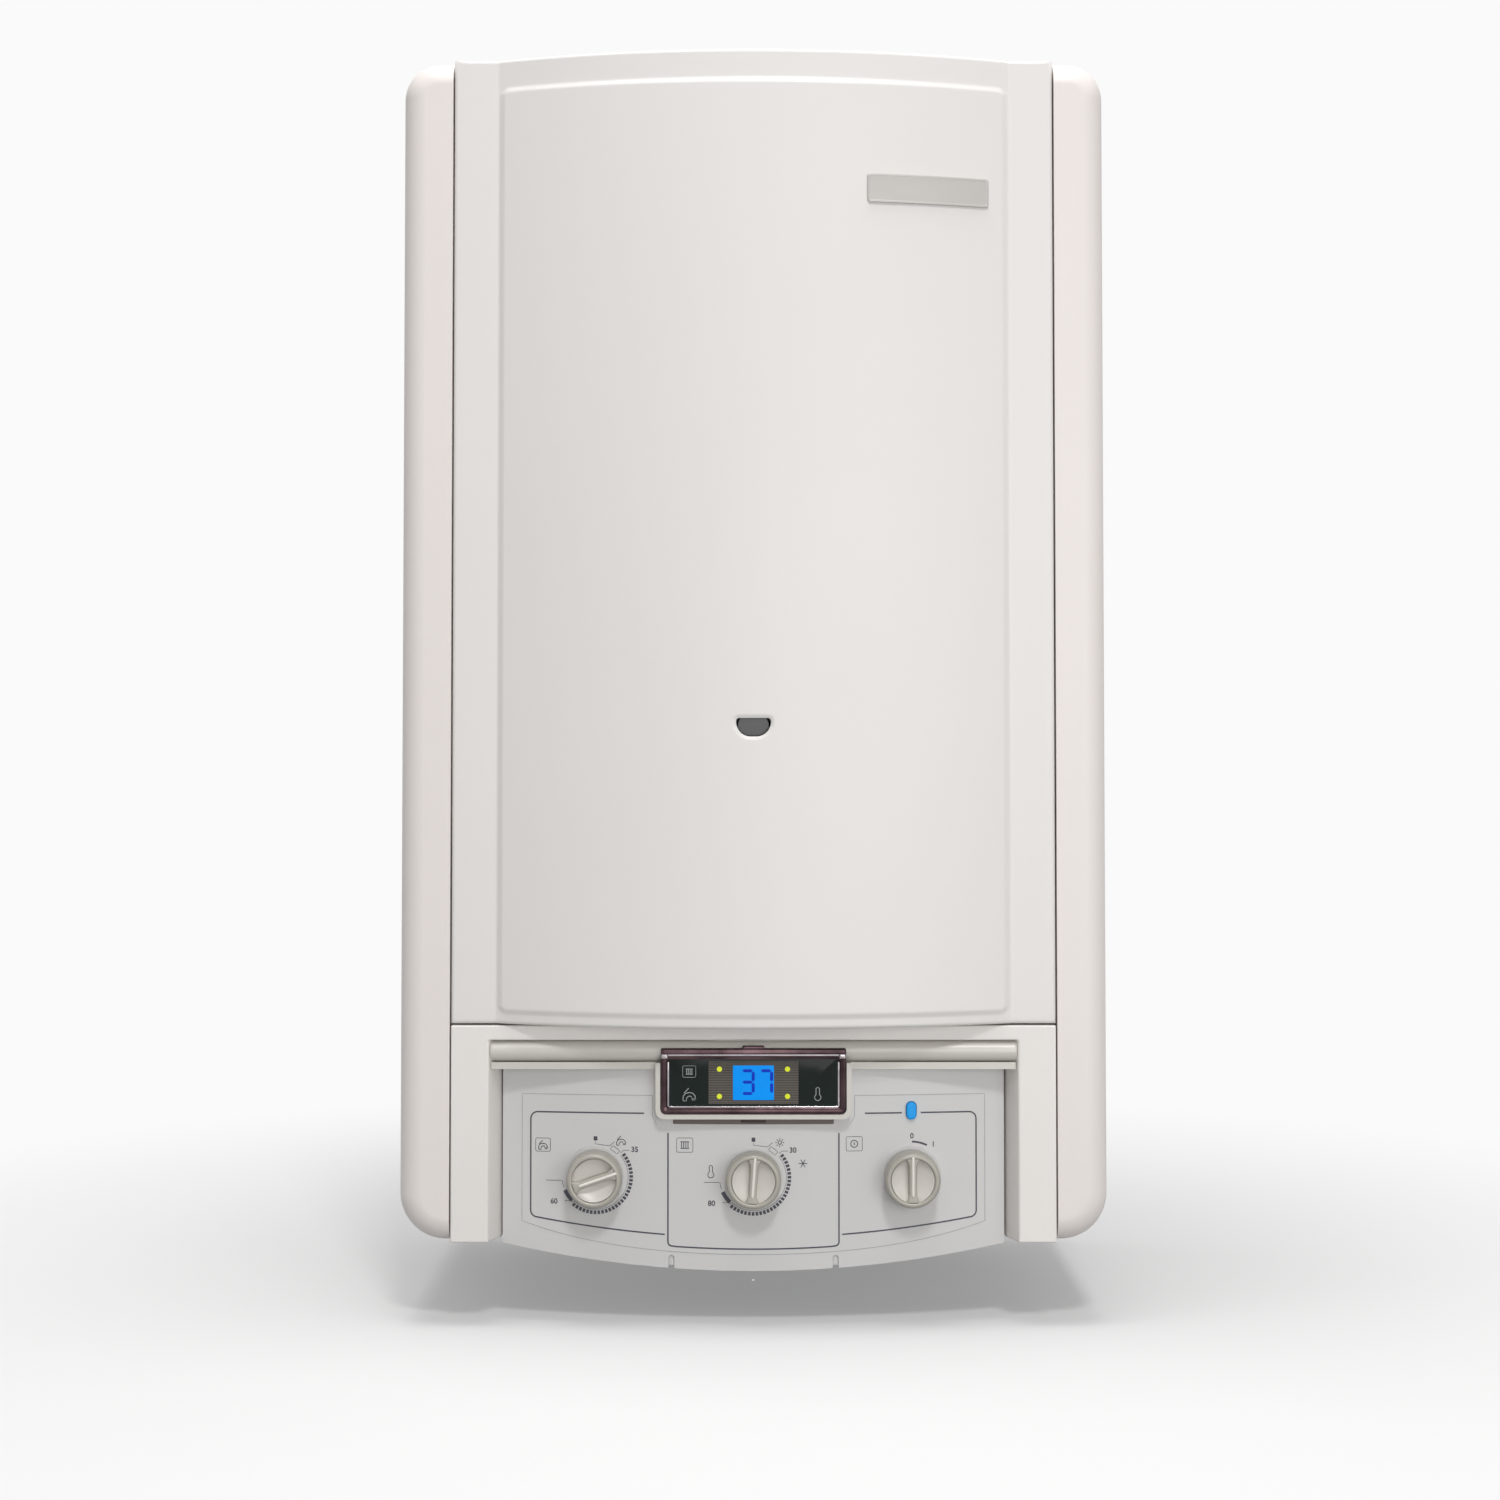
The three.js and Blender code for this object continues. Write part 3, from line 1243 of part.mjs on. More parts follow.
// Lobed hand knob about the Y axis, its back at y = 0.
function handKnob(radius, height, lobes) {
  const profile = [
    [0, 0],
    [radius, 0],
    [radius, -height * 0.7],
    [radius * 0.8, -height],
    [0, -height],
  ];
  const notches = Array.from({ length: lobes }, (_, i) => {
    const turn = (2 * Math.PI * i) / lobes;
    const reach = radius * 1.12;
    return rodY(reach * Math.cos(turn), reach * Math.sin(turn), radius * 0.3, 1, -height - 1, 6);
  });
  const bore = rodY(0, 0, SPINDLE / 2 + FIT, 1, -spindleReach - 1.5, 8);
  return carve(solid(turned(profile, 18)), ...notches, bore);
}

function reliefValve() {
  const back = reliefBack;
  const profile = [
    [0, back],
    [10, back],
    [10, back - 10],
    [12, back - 12],
    [12, reliefFace],
    [0, reliefFace],
  ];
  const body = solid(turned(profile, 12).translate(reliefX, 0, tapZ));
  const spindle = rodY(reliefX, tapZ, SPINDLE / 2, reliefFace + 1, reliefFace - spindleReach, 8);
  const outlet = rodZ(reliefX, back - 14, 7, tapZ - 18, tapZ, 10);
  return unite([body, spindle, outlet]);
}

// Brazed stack: every second plate is drawn in, so the edges show as ribs.
function plateHeatExchanger() {
  const half = PLATES_WIDTH / 2;
  const pitch = PLATES_DEPTH / PLATES_COUNT;
  const low = tapZ - PLATES_HEIGHT / 2;
  const plates = Array.from({ length: PLATES_COUNT }, (_, i) => {
    const inset = (i % 2) * 1.5;
    const edge = half - inset;
    const high = low + PLATES_HEIGHT - inset;
    const shape = rounded(-edge, edge, low + inset, high, PLATES_CORNER - inset);
    const near = platesRear - pitch * i;
    return forwards(shape, near, near - pitch - 0.2, { bevelEnabled: false, curveSegments: 1 });
  });
  return unite(plates);
}

function pumpHousing() {
  const [rear, face] = [blockRear, blockFront];
  const volute = rodY(pumpX, pumpZ, PUMP_RADIUS, rear - 8, face + 4, 18);
  const rim = rodY(pumpX, pumpZ, PUMP_RADIUS + 2, face + 8, face, 18);
  const inlet = rodZ(pumpX, tailY, 13, blockTop + 5 + FIT, pumpZ, 12);
  const outlet = rodZ(pipeX, tailY, 10, pumpZ, pumpZ + PUMP_RADIUS + 2, 12);
  const nut = rodZ(pipeX, tailY, 13, pumpZ + PUMP_RADIUS, pumpZ + PUMP_RADIUS + 8, 6);
  return unite([volute, rim, inlet, outlet, nut]);
}

// Motor can with cooling ribs, end cap and terminal box.
function pumpMotor() {
  const back = blockFront - FIT;
  const end = back - PUMP_MOTOR_LENGTH;
  const radius = PUMP_MOTOR_RADIUS;
  const profile = [
    [0, back],
    [radius + 2, back],
    [radius + 2, back - 5],
    [radius - 4, back - 5],
    [radius - 4, end + 8],
    [radius - 8, end],
    [9, end],
    [8, end - 3],
    [0, end - 3],
  ];
  const body = solid(turned(profile, 16).translate(pumpX, 0, pumpZ));
  const ribs = Array.from({ length: PUMP_MOTOR_RIBS }, (_, i) => {
    const geometry = new THREE.BoxGeometry(5, PUMP_MOTOR_LENGTH - 16, 3);
    geometry.translate(radius - 4, 0, 0).rotateY((2 * Math.PI * i) / PUMP_MOTOR_RIBS);
    return solid(geometry.translate(pumpX, back - PUMP_MOTOR_LENGTH / 2 + 1, pumpZ));
  });
  const shoulder = pumpZ + radius;
  const terminals = box(pumpX - 22, pumpX + 22, back - 12, end + 14, shoulder - 8, shoulder + 12);
  return unite([body, ...ribs, terminals]);
}

function diverterMotor() {
  const low = valveTop + FIT;
  const shape = rounded(-pipeX - 20, -pipeX + 20, towerFront - 2, blockRear - 2, 5);
  const neck = rodZ(-pipeX, tailY, 15, low, low + 7, 12);
  return neck.add(upright(shape, low + 6, low + 40));
}

// Cast gas valve with its two solenoid coils and the outlet towards the front.
const gasRear = tailY + 24;
const gasFront = tailY - 36;
const gasPort = gasValveBottom + 42;

function gasValve() {
  const half = GAS_VALVE_WIDTH / 2;
  const plan = rounded(-half, half, gasFront, gasRear, 8);
  const body = upright(plan, gasValveBottom + 8, gasValveTop - 20);
  const inlet = rodZ(0, tailY, 15, gasValveBottom, gasValveBottom + 10, 6);
  const coilY = tailY - 6;
  const coils = sides.map((side) =>
    rodZ((side * half) / 2, coilY, 14, gasValveTop - 22, gasValveTop, 14),
  );
  const caps = sides.map((side) =>
    rodZ((side * half) / 2, coilY, 6, gasValveTop - 1, gasValveTop + 5, 8),
  );
  const outlet = rodY(0, gasPort, 13, gasFront + 2, gasFront - 10, 6);
  const regulator = rodY(-18, gasPort - 24, 7, gasFront + 1, gasFront - 8, 10);
  return unite([body, inlet, ...coils, ...caps, outlet, regulator]);
}

function gasPipe() {
  const start = gasFront - 10 - FIT;
  const end = manifoldZ - manifoldRadius - 2 - FIT;
  const corners = [[0, start, gasPort], [0, manifoldY, gasPort], [0, manifoldY, end]];
  return pipeRun(corners, PIPE / 2, 24);
}

const headerEnd = stackHalf + 10 + FIT;

function flowPipe() {
  return pipeRun([
    [-headerEnd, stackMiddle, exchangerPort],
    [-pipeX, stackMiddle, exchangerPort],
    [-pipeX, stackMiddle, flowPort],
    [-pipeX, towerFront - 6 - FIT, flowPort],
  ], PIPE / 2, 11);
}

function returnPipe() {
  const start = pumpZ + PUMP_RADIUS + 8 + FIT;
  const level = chamberFloor - 30;
  return pipeRun([
    [pipeX, tailY, start],
    [pipeX, tailY, level],
    [pipeX, stackMiddle, level],
    [pipeX, stackMiddle, exchangerPort],
    [headerEnd, stackMiddle, exchangerPort],
  ], PIPE / 2, 11);
}

// ---- Assembly ----

const names = { [-1]: "left", 1: "right" };

part("back_plate", backPlate(), galvanised());
for (const side of sides) {
  part(names[side] + "_hanger", hanger(side), galvanised());
  part(names[side] + "_side_panel", sidePanel(side), warmWhiteEnamel());
  part(names[side] + "_hinge_bracket", hingeBracket(side), galvanised());
}
part("bottom_plate", bottomPlate(), galvanised());
part("top_panel", topPanel(), warmWhiteEnamel());
part("flue_collar", flueCollar(), castAluminium());
part("fascia_frame", fasciaFrame(), fasciaPlastic());

part("front_door", frontDoor(), whiteEnamel(), door);
part("badge_plate", badgePlate(), satinSilver(), door);

part("chamber_housing", chamberHousing(), galvanised());
part("chamber_cover", chamberCover(), galvanised());
part("sight_glass", sightGlassRing(), sightGlass());
part("burner", burner(), stainless());
part("gas_manifold", gasManifold(), castAluminium());
part("combustion_chamber", combustionChamber(), galvanised());
part("heat_exchanger", heatExchanger(), copper());
part("flue_hood", flueHood(), galvanised());
part("fan_housing", fanHousing(), castAluminium());
part("fan_motor", fanMotor(), blackPlastic());
part("air_pressure_switch", pressureSwitch(), greyPlastic());
part("expansion_vessel", expansionVessel(), redVessel());

const wheel = part("fan_impeller", impeller(), galvanised());
wheel.position.set(fanX, fanFront + 5, fanZ);

const tailNames = [
  "heating_flow_tail",
  "hot_water_tail",
  "gas_tail",
  "cold_water_tail",
  "heating_return_tail",
];
tailPlaces().forEach((x, i) => {
  const upperEnd = (x === 0 ? gasValveBottom : blockBottom) - FIT;
  part(tailNames[i], pipeTail(x, upperEnd), copper());
});
part("flow_manifold", flowManifold(), brass());
part("return_manifold", returnManifold(), brass());
part("relief_valve", reliefValve(), brass());
part("plate_heat_exchanger", plateHeatExchanger(), stainless());
part("pump_housing", pumpHousing(), castAluminium());
part("pump_motor", pumpMotor(), blackPlastic());
part("diverter_motor", diverterMotor(), blackPlastic());
part("gas_valve", gasValve(), castAluminium());
part("gas_pipe", gasPipe(), copper());
part("flow_pipe", flowPipe(), copper());
part("return_pipe", returnPipe(), copper());

const tapHandle = part("filling_tap_handle", handKnob(TAP_RADIUS, TAP_HEIGHT, 6), blackPlastic());
tapHandle.position.set(-tapX, blockFront - tapLength - FIT, tapZ);
const reliefHandle = part("relief_knob", handKnob(TAP_RADIUS, TAP_HEIGHT, 4), redPlastic());
reliefHandle.position.set(reliefX, reliefFace - FIT, tapZ);

part("control_plate", controlPlate(), greyPlastic(), controlPanel);
part("panel_rail", panelRail(), satinSilver(), controlPanel);
part("display_hood", displayHood(), fasciaPlastic(), controlPanel);
part("display_bezel", displayBezel(), chrome(), controlPanel);
part("display_lens", displayLens(), darkGlass(), controlPanel);
part("display_module", displayModule(), blackPlastic(), controlPanel);
part("control_board", controlBoard(), circuitGreen(), controlPanel);
part("control_box", controlBox(), greyPlastic(), controlPanel);
part("reset_button", resetButton(), bluePlastic(), controlPanel);

// Each knob turns on its switch; its pointer stands as many degrees clockwise from upright.
const dials = [
  { name: "hot_water", pointer: 71 },
  { name: "heating", pointer: 4 },
  { name: "power", pointer: 0 },
];
dials.forEach(({ name, pointer }, i) => {
  const x = knobPlaces()[i];
  part(name + "_switch", rotarySwitch(x), blackPlastic(), controlPanel);
  const dial = part(name + "_knob", knob(), satinSilver(), controlPanel);
  dial.position.set(x, seatFace(x) - 0.5, knobLevel);
  dial.rotation.y = THREE.MathUtils.degToRad(pointer);
});

export default boiler;
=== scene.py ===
"""Wall-hung combi boiler: casing, controls and working parts with their finishes, in metres."""

import json
import math

import bmesh
import bpy
from bpy.props import FloatProperty, FloatVectorProperty, IntProperty, PointerProperty
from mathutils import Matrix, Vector


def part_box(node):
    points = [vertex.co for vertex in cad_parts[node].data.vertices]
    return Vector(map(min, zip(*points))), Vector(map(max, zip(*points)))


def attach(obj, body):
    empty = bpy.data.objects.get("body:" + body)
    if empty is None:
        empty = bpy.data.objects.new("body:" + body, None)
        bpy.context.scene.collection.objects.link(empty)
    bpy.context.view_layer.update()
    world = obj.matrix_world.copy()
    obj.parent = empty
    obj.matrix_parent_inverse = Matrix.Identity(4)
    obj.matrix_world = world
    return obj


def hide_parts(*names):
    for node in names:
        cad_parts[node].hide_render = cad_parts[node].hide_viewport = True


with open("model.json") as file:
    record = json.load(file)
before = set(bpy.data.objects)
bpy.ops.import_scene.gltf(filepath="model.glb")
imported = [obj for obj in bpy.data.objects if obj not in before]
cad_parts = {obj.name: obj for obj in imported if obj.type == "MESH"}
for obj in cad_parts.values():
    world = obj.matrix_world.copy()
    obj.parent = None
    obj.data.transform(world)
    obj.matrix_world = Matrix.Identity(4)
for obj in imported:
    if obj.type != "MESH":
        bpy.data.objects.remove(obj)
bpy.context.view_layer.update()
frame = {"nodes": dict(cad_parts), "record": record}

bl_info = {
    "name": "Combi Boiler",
    "version": (1, 0, 0),
    "blender": (4, 5, 0),
    "location": "3D View > Sidebar > Boiler",
    "description": "Builds a wall-hung combi boiler piece by piece round its packed model",
    "category": "Object",
}

MM = 0.001


def centre(node):
    """Middle of a node's box."""
    return [(low + high) / 2 for low, high in zip(*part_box(node))]


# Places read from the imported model.
SIDE_LOW, SIDE_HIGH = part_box("right_side_panel")
DOOR_LOW, DOOR_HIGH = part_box("front_door")
PLATE_LOW, PLATE_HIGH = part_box("control_plate")
LENS_LOW, LENS_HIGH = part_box("display_lens")
BEZEL_LOW, BEZEL_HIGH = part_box("display_bezel")
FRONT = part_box("fascia_frame")[0].y  # the flat of the casing's front
TOP = SIDE_HIGH.z
HALF_WIDTH = SIDE_HIGH.x
SEAM_HALF = SIDE_LOW.x
DOOR_HALF = DOOR_HIGH.x
PLATE_HALF = PLATE_HIGH.x
KNOB_LEVEL = centre("heating_knob")[2]
KNOB_PITCH = centre("power_knob")[0]
KNOB_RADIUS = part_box("heating_knob")[1].x
BODY_OF = {
    node: body
    for body, nodes in frame["record"]["behaviour"]["bodies"].items()
    for node in nodes
}
SLOT_OF = {part["node"]: part["material_slot"] for part in frame["record"]["subparts"]}


# ---- Colour and nodes ----


def linear(colour):
    """Linear RGBA of an sRGB hex value such as "E4E0DC"."""
    shares = [int(colour[i:i + 2], 16) / 255 for i in (0, 2, 4)]
    return (*((s / 12.92 if s <= 0.04045 else ((s + 0.055) / 1.055) ** 2.4) for s in shares), 1.0)


def colour_setting(name, description, colour):
    """A colour property whose default is an sRGB hex value."""
    return FloatVectorProperty(
        name=name, description=description, subtype="COLOR", size=4, min=0, max=1, default=linear(colour)
    )


def length_setting(name, description, default):
    """A length property in metres."""
    return FloatProperty(name=name, description=description, default=default, min=0, unit="LENGTH")


def angle_setting(name, degrees):
    """A pointer's angle, clockwise from the top."""
    return FloatProperty(
        name=name, description="Clockwise from the top", default=math.radians(degrees), subtype="ANGLE"
    )


def add_node(tree, kind, values=(), links=(), **settings):
    """Add a node with its settings, socket values and links."""
    node = tree.nodes.new(kind)
    for name, value in settings.items():
        setattr(node, name, value)
    for socket, value in dict(values).items():
        node.inputs[socket].default_value = value
    for socket, source in dict(links).items():
        tree.links.new(source, node.inputs[socket])
    return node


def tint(colour, share):
    """A colour made darker or lighter by a share."""
    return (*(min(1.0, c * share) for c in colour[:3]), 1.0)


def bare_material(name):
    """A new material, its empty tree, its surface socket and its object coordinates."""
    material = bpy.data.materials.new(name)
    material.use_nodes = True
    material.node_tree.nodes.clear()
    output = add_node(material.node_tree, "ShaderNodeOutputMaterial")
    place = add_node(material.node_tree, "ShaderNodeTexCoord").outputs["Object"]
    return material, material.node_tree, output.inputs["Surface"], place


def ramp(tree, share, low, high, span=(0.0, 1.0)):
    """Blend from one colour to another while a share runs over a span."""
    tone = add_node(tree, "ShaderNodeValToRGB", links={"Fac": share})
    for element, start, colour in zip(tone.color_ramp.elements, span, (low, high)):
        element.position = start
        element.color = colour
    return tone.outputs["Color"]


def shade(tree, surface, values, links):
    """Link a principled shader to the surface."""
    shader = add_node(tree, "ShaderNodeBsdfPrincipled", values, links)
    tree.links.new(shader.outputs["BSDF"], surface)


def eye_rays(tree):
    """1 for rays that the camera, a reflection or glass sees, 0 for scattered light."""
    rays = add_node(tree, "ShaderNodeLightPath").outputs
    eye = rays["Is Camera Ray"]
    for kind in ("Is Glossy Ray", "Is Transmission Ray"):
        eye = add_node(tree, "ShaderNodeMath", links={0: eye, 1: rays[kind]}, operation="MAXIMUM").outputs[0]
    return eye


def finish(name, colour, roughness, patch, grain, relief, stretch=(1, 1, 1), shift=0.05, **sockets):
    """A surface whose colour and roughness wander over patches, with a fine relief on top.

    patch and grain are real lengths; relief is the height of the grain. stretch lengthens the
    grain along an axis where its value is under 1, as on brushed or drawn metal.
    """
    if name in bpy.data.materials:
        return bpy.data.materials[name]
    material, tree, surface, place = bare_material(name)
    scaled = add_node(tree, "ShaderNodeMapping", {"Scale": stretch}, {"Vector": place}).outputs["Vector"]
    broad = add_node(tree, "ShaderNodeTexNoise", {"Scale": 1 / patch, "Detail": 3.0}, {"Vector": scaled})
    fine = add_node(tree, "ShaderNodeTexNoise", {"Scale": 1 / grain, "Detail": 2.0}, {"Vector": scaled})
    tone = ramp(tree, broad.outputs["Fac"], tint(colour, 1 - shift), tint(colour, 1 + shift), (0.3, 0.7))
    limits = {"To Min": max(0.02, roughness * 0.88), "To Max": min(1.0, roughness * 1.12)}
    gloss = add_node(tree, "ShaderNodeMapRange", limits, {"Value": fine.outputs["Fac"]})
    bump = add_node(
        tree, "ShaderNodeBump", {"Strength": 1.0, "Distance": relief}, {"Height": fine.outputs["Fac"]}
    )
    links = {"Base Color": tone, "Roughness": gloss.outputs["Result"], "Normal": bump.outputs["Normal"]}
    shade(tree, surface, sockets, links)
    return material


# ---- Materials ----


def powder_coated_steel(name, colour):
    # Powder coat baked on sheet steel: soft gloss with the faint orange peel of cured powder,
    # drawn at 2.5 mm because the real 1 mm dimples would not show.
    return finish(name, colour, 0.42, 180 * MM, 2.5 * MM, 0.012 * MM, shift=0.008)


def moulded_abs(name, colour, roughness=0.5):
    # ABS from a spark-eroded mould: even, dull, with a fine sandy grain.
    return finish(name, colour, roughness, 60 * MM, 0.8 * MM, 0.02 * MM, shift=0.012)


def silver_painted_abs(name, colour, roughness=0.36):
    # Moulded ABS sprayed with satin silver paint: fine flakes give it a soft metal glint.
    return finish(name, colour, roughness, 25 * MM, 0.6 * MM, 0.01 * MM, shift=0.02, **{"Metallic": 0.08})


def smoked_chrome():
    # Chrome plated on moulded ABS, mirror-like; its dark plum colour is a painted reflection of a dark room, and its
    # tone wanders widely over patches.
    return finish(
        "smoked_chrome", linear("46373A"), 0.14, 22 * MM, 6 * MM, 0.02 * MM, shift=0.6, **{"Metallic": 1.0}
    )


def bright_chrome():
    # Lighter copy of the frame's chrome: a painted highlight along the frame's thin bright lines.
    return finish(
        "bright_chrome", linear("A39DA0"), 0.16, 18 * MM, 6 * MM, 0.005 * MM, shift=0.2, **{"Metallic": 1.0}
    )


def brushed_badge():
    # Anodised aluminium brushed along its length: pale, with long fine streaks.
    return finish(
        "brushed_anodised_aluminium", linear("BFBCB8"), 0.34, 12 * MM, 0.5 * MM, 0.01 * MM,
        stretch=(0.06, 1, 1), shift=0.03, **{"Metallic": 0.2},
    )


def galvanised_steel():
    # Hot-dipped zinc on sheet steel: cloudy grey spangle about 9 mm across.
    name = "galvanised_sheet_steel"
    if name in bpy.data.materials:
        return bpy.data.materials[name]
    material, tree, surface, place = bare_material(name)
    spangle = add_node(tree, "ShaderNodeTexVoronoi", {"Scale": 1 / (9 * MM)}, {"Vector": place})
    grey = add_node(tree, "ShaderNodeRGBToBW", links={"Color": spangle.outputs["Color"]}).outputs["Val"]
    tone = ramp(tree, grey, linear("8E9295"), linear("B4B8BA"))
    gloss = add_node(tree, "ShaderNodeMapRange", {"To Min": 0.38, "To Max": 0.58}, {"Value": grey})
    shade(tree, surface, {"Metallic": 0.85}, {"Base Color": tone, "Roughness": gloss.outputs["Result"]})
    return material


def brushed_stainless():
    # Stainless steel from a brushing belt: bright, with streaks along its length.
    return finish(
        "brushed_stainless_steel", linear("B9BBBD"), 0.3, 40 * MM, 0.7 * MM, 0.012 * MM,
        stretch=(0.08, 1, 1), **{"Metallic": 1.0},
    )


def drawn_copper():
    # Copper tube and sheet with the brown bloom of handling and heat.
    return finish(
        "drawn_copper", linear("B4714C"), 0.36, 14 * MM, 1 * MM, 0.01 * MM, shift=0.16, **{"Metallic": 1.0}
    )


def cast_brass():
    # Hot-pressed brass: dull gold with a grainy skin.
    return finish(
        "hot_pressed_brass", linear("B3975A"), 0.42, 10 * MM, 0.8 * MM, 0.03 * MM, shift=0.08, **{"Metallic": 1.0}
    )


def cast_aluminium():
    # Sand-cast aluminium: matt grey with a pebbled skin.
    return finish(
        "cast_aluminium", linear("A0A3A5"), 0.55, 18 * MM, 1.2 * MM, 0.06 * MM, shift=0.06, **{"Metallic": 0.9}
    )


def vessel_enamel():
    # Stoved red enamel on pressed steel: glossy with slight waves.
    return finish(
        "stoved_red_enamel", linear("A32F26"), 0.3, 30 * MM, 4 * MM, 0.05 * MM, **{"Coat Weight": 0.3}
    )


def moulded_nylon(name, colour):
    # Glass-filled nylon: matt, with a faint cloudy grain.
    return finish(name, colour, 0.55, 15 * MM, 0.6 * MM, 0.02 * MM, shift=0.06)


def heatproof_glass():
    # Dark heatproof glass over the burner's room: nearly black, with a hard gloss.
    return finish(
        "heatproof_glass", linear("2B2C2C"), 0.08, 20 * MM, 5 * MM, 0.005 * MM, shift=0.1, **{"IOR": 1.47}
    )


def smoked_acrylic():
    # Cast acrylic printed green-black from behind: deep and glossy.
    return finish(
        "smoked_acrylic", linear("17211E"), 0.07, 20 * MM, 8 * MM, 0.004 * MM, shift=0.08,
        **{"Specular IOR Level": 0.15},
    )


def screen_ink(name, colour):
    # Screen-printed ink: matt, with slight unevenness at its edges.
    return finish(name, colour, 0.6, 8 * MM, 0.7 * MM, 0.006 * MM, shift=0.08)


def circuit_board():
    # Glass-epoxy board under solder mask: green with darker tracks 2 mm apart.
    name = "solder_masked_board"
    if name in bpy.data.materials:
        return bpy.data.materials[name]
    material, tree, surface, place = bare_material(name)
    turned = add_node(
        tree, "ShaderNodeMapping", {"Rotation": (math.pi / 2, 0, 0), "Scale": (250, 250, 250)}, {"Vector": place}
    )
    tracks = add_node(
        tree,
        "ShaderNodeTexBrick",
        {"Color1": linear("2C6A42"), "Color2": linear("2A5F3C"), "Mortar": linear("1E4A2E"), "Scale": 2.0},
        {"Vector": turned.outputs["Vector"]},
    )
    shade(tree, surface, {"Roughness": 0.35}, {"Base Color": tracks.outputs["Color"]})
    return material


def striped_mask():
    # Dark film with fine printed lines 0.95 mm apart that runs beside the liquid crystal.
    name = "striped_film"
    if name in bpy.data.materials:
        return bpy.data.materials[name]
    material, tree, surface, place = bare_material(name)
    # A wave texture repeats every pi / 10 units, so this scale gives one line each 0.95 mm.
    scale = {"Scale": math.pi / 10 / (0.95 * MM)}
    lines = add_node(tree, "ShaderNodeTexWave", scale, {"Vector": place}, bands_direction="Z")
    tone = ramp(tree, lines.outputs["Fac"], linear("3A3632"), linear("6B655E"), (0.35, 0.65))
    shade(tree, surface, {"Roughness": 0.3, "Specular IOR Level": 0.2}, {"Base Color": tone})
    return material


def backlit(name, colour, strength=0.85):
    # Backlit film: glows nearly evenly, with a faint cloudy unevenness, under a glossy face.
    if name in bpy.data.materials:
        return bpy.data.materials[name]
    material, tree, surface, place = bare_material(name)
    cloud = add_node(tree, "ShaderNodeTexNoise", {"Scale": 1 / (9 * MM), "Detail": 1.0}, {"Vector": place})
    tone = ramp(tree, cloud.outputs["Fac"], tint(colour, 0.9), tint(colour, 1.1))
    values = {
        "Base Color": tint(colour, 0.1), "Roughness": 0.2, "Specular IOR Level": 0.1, "Emission Strength": strength,
    }
    shade(tree, surface, values, {"Emission Color": tone})
    return material


# ---- Meshes ----

SHARP = 35  # degrees between two faces that make an edge


def loft(bm, rings, closed=True, wrap=False, caps=False):
    """Quads between neighbouring rings of points; rings close on themselves unless told otherwise."""
    rows = [[bm.verts.new(point) for point in ring] for ring in rings]
    pairs = list(zip(rows, rows[1:] + rows[:1])) if wrap else list(zip(rows, rows[1:]))
    for near, far in pairs:
        count = len(near)
        for i in range(count if closed else count - 1):
            j = (i + 1) % count
            bm.faces.new((near[i], near[j], far[j], far[i]))
    if caps:
        bm.faces.new(reversed(rows[0]))
        bm.faces.new(rows[-1])
    return rows


def mesh_from(bm, name):
    """Merge what meets, turn the faces outwards and make a smooth mesh."""
    bmesh.ops.remove_doubles(bm, verts=bm.verts, dist=1e-7)
    bmesh.ops.recalc_face_normals(bm, faces=bm.faces)
    for face in bm.faces:
        face.smooth = True
    mesh = bpy.data.meshes.new(name)
    bm.to_mesh(mesh)
    bm.free()
    return mesh


def soften(piece, width, segments, angle):
    """Round the edges of a piece that are sharper than an angle."""
    bevel = piece.modifiers.new("edges", "BEVEL")
    bevel.width = width
    bevel.segments = segments
    bevel.limit_method = "ANGLE"
    bevel.angle_limit = math.radians(angle)
    return bevel


def thicken(piece, sheet):
    """Give a skin the thickness of its sheet, inwards."""
    skin = piece.modifiers.new("sheet", "SOLIDIFY")
    skin.thickness = sheet
    skin.offset = -1


def add_piece(name, shape, material, body, slot, replaced=(), edge=0.0, segments=2):
    """Add a mesh or a bmesh as a piece that rides on a body, with its sharp edges slightly rounded."""
    mesh = mesh_from(shape, name) if isinstance(shape, bmesh.types.BMesh) else shape
    piece = bpy.data.objects.new(name, mesh)
    bpy.context.scene.collection.objects.link(piece)
    mesh.materials.clear()
    mesh.materials.append(material)
    if edge:
        soften(piece, edge, segments, SHARP).miter_outer = "MITER_ARC"
    piece.modifiers.new("normals", "WEIGHTED_NORMAL").keep_sharp = True
    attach(piece, body)
    if replaced:
        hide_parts(*replaced)
    return piece


def settle(piece):
    """Turn a piece's modifiers into its mesh."""
    graph = bpy.context.evaluated_depsgraph_get()
    piece.data = bpy.data.meshes.new_from_object(piece.evaluated_get(graph))
    piece.modifiers.clear()


def refine(node, material, edge, segments=2):
    """A finer copy of a CAD node: flat faces made whole, round ones smooth, edges rounded."""
    source = frame["nodes"][node].data
    mesh = bpy.data.meshes.new(node + "_fine")
    mesh.from_pydata([v.co for v in source.vertices], [], [tuple(p.vertices) for p in source.polygons])
    bm = bmesh.new()
    bm.from_mesh(mesh)
    bmesh.ops.remove_doubles(bm, verts=bm.verts, dist=1e-6)
    bmesh.ops.dissolve_limit(bm, angle_limit=math.radians(0.5), verts=bm.verts, edges=bm.edges)
    for face in bm.faces:
        face.smooth = True
    for edge_line in bm.edges:
        edge_line.smooth = edge_line.calc_face_angle(0) < math.radians(SHARP)
    bm.to_mesh(mesh)
    bm.free()
    return add_piece(node + "_fine", mesh, material, BODY_OF[node], SLOT_OF[node], (node,), edge, segments)


def lathe(profile, x, y, segments):
    """A shape turned from a closed profile of (radius, height) points about an upright axis."""
    bm = bmesh.new()
    turns = [2 * math.pi * i / segments for i in range(segments)]
    loft(bm, [[(x + r * math.cos(a), y + r * math.sin(a), z) for r, z in profile] for a in turns], wrap=True)
    return bm


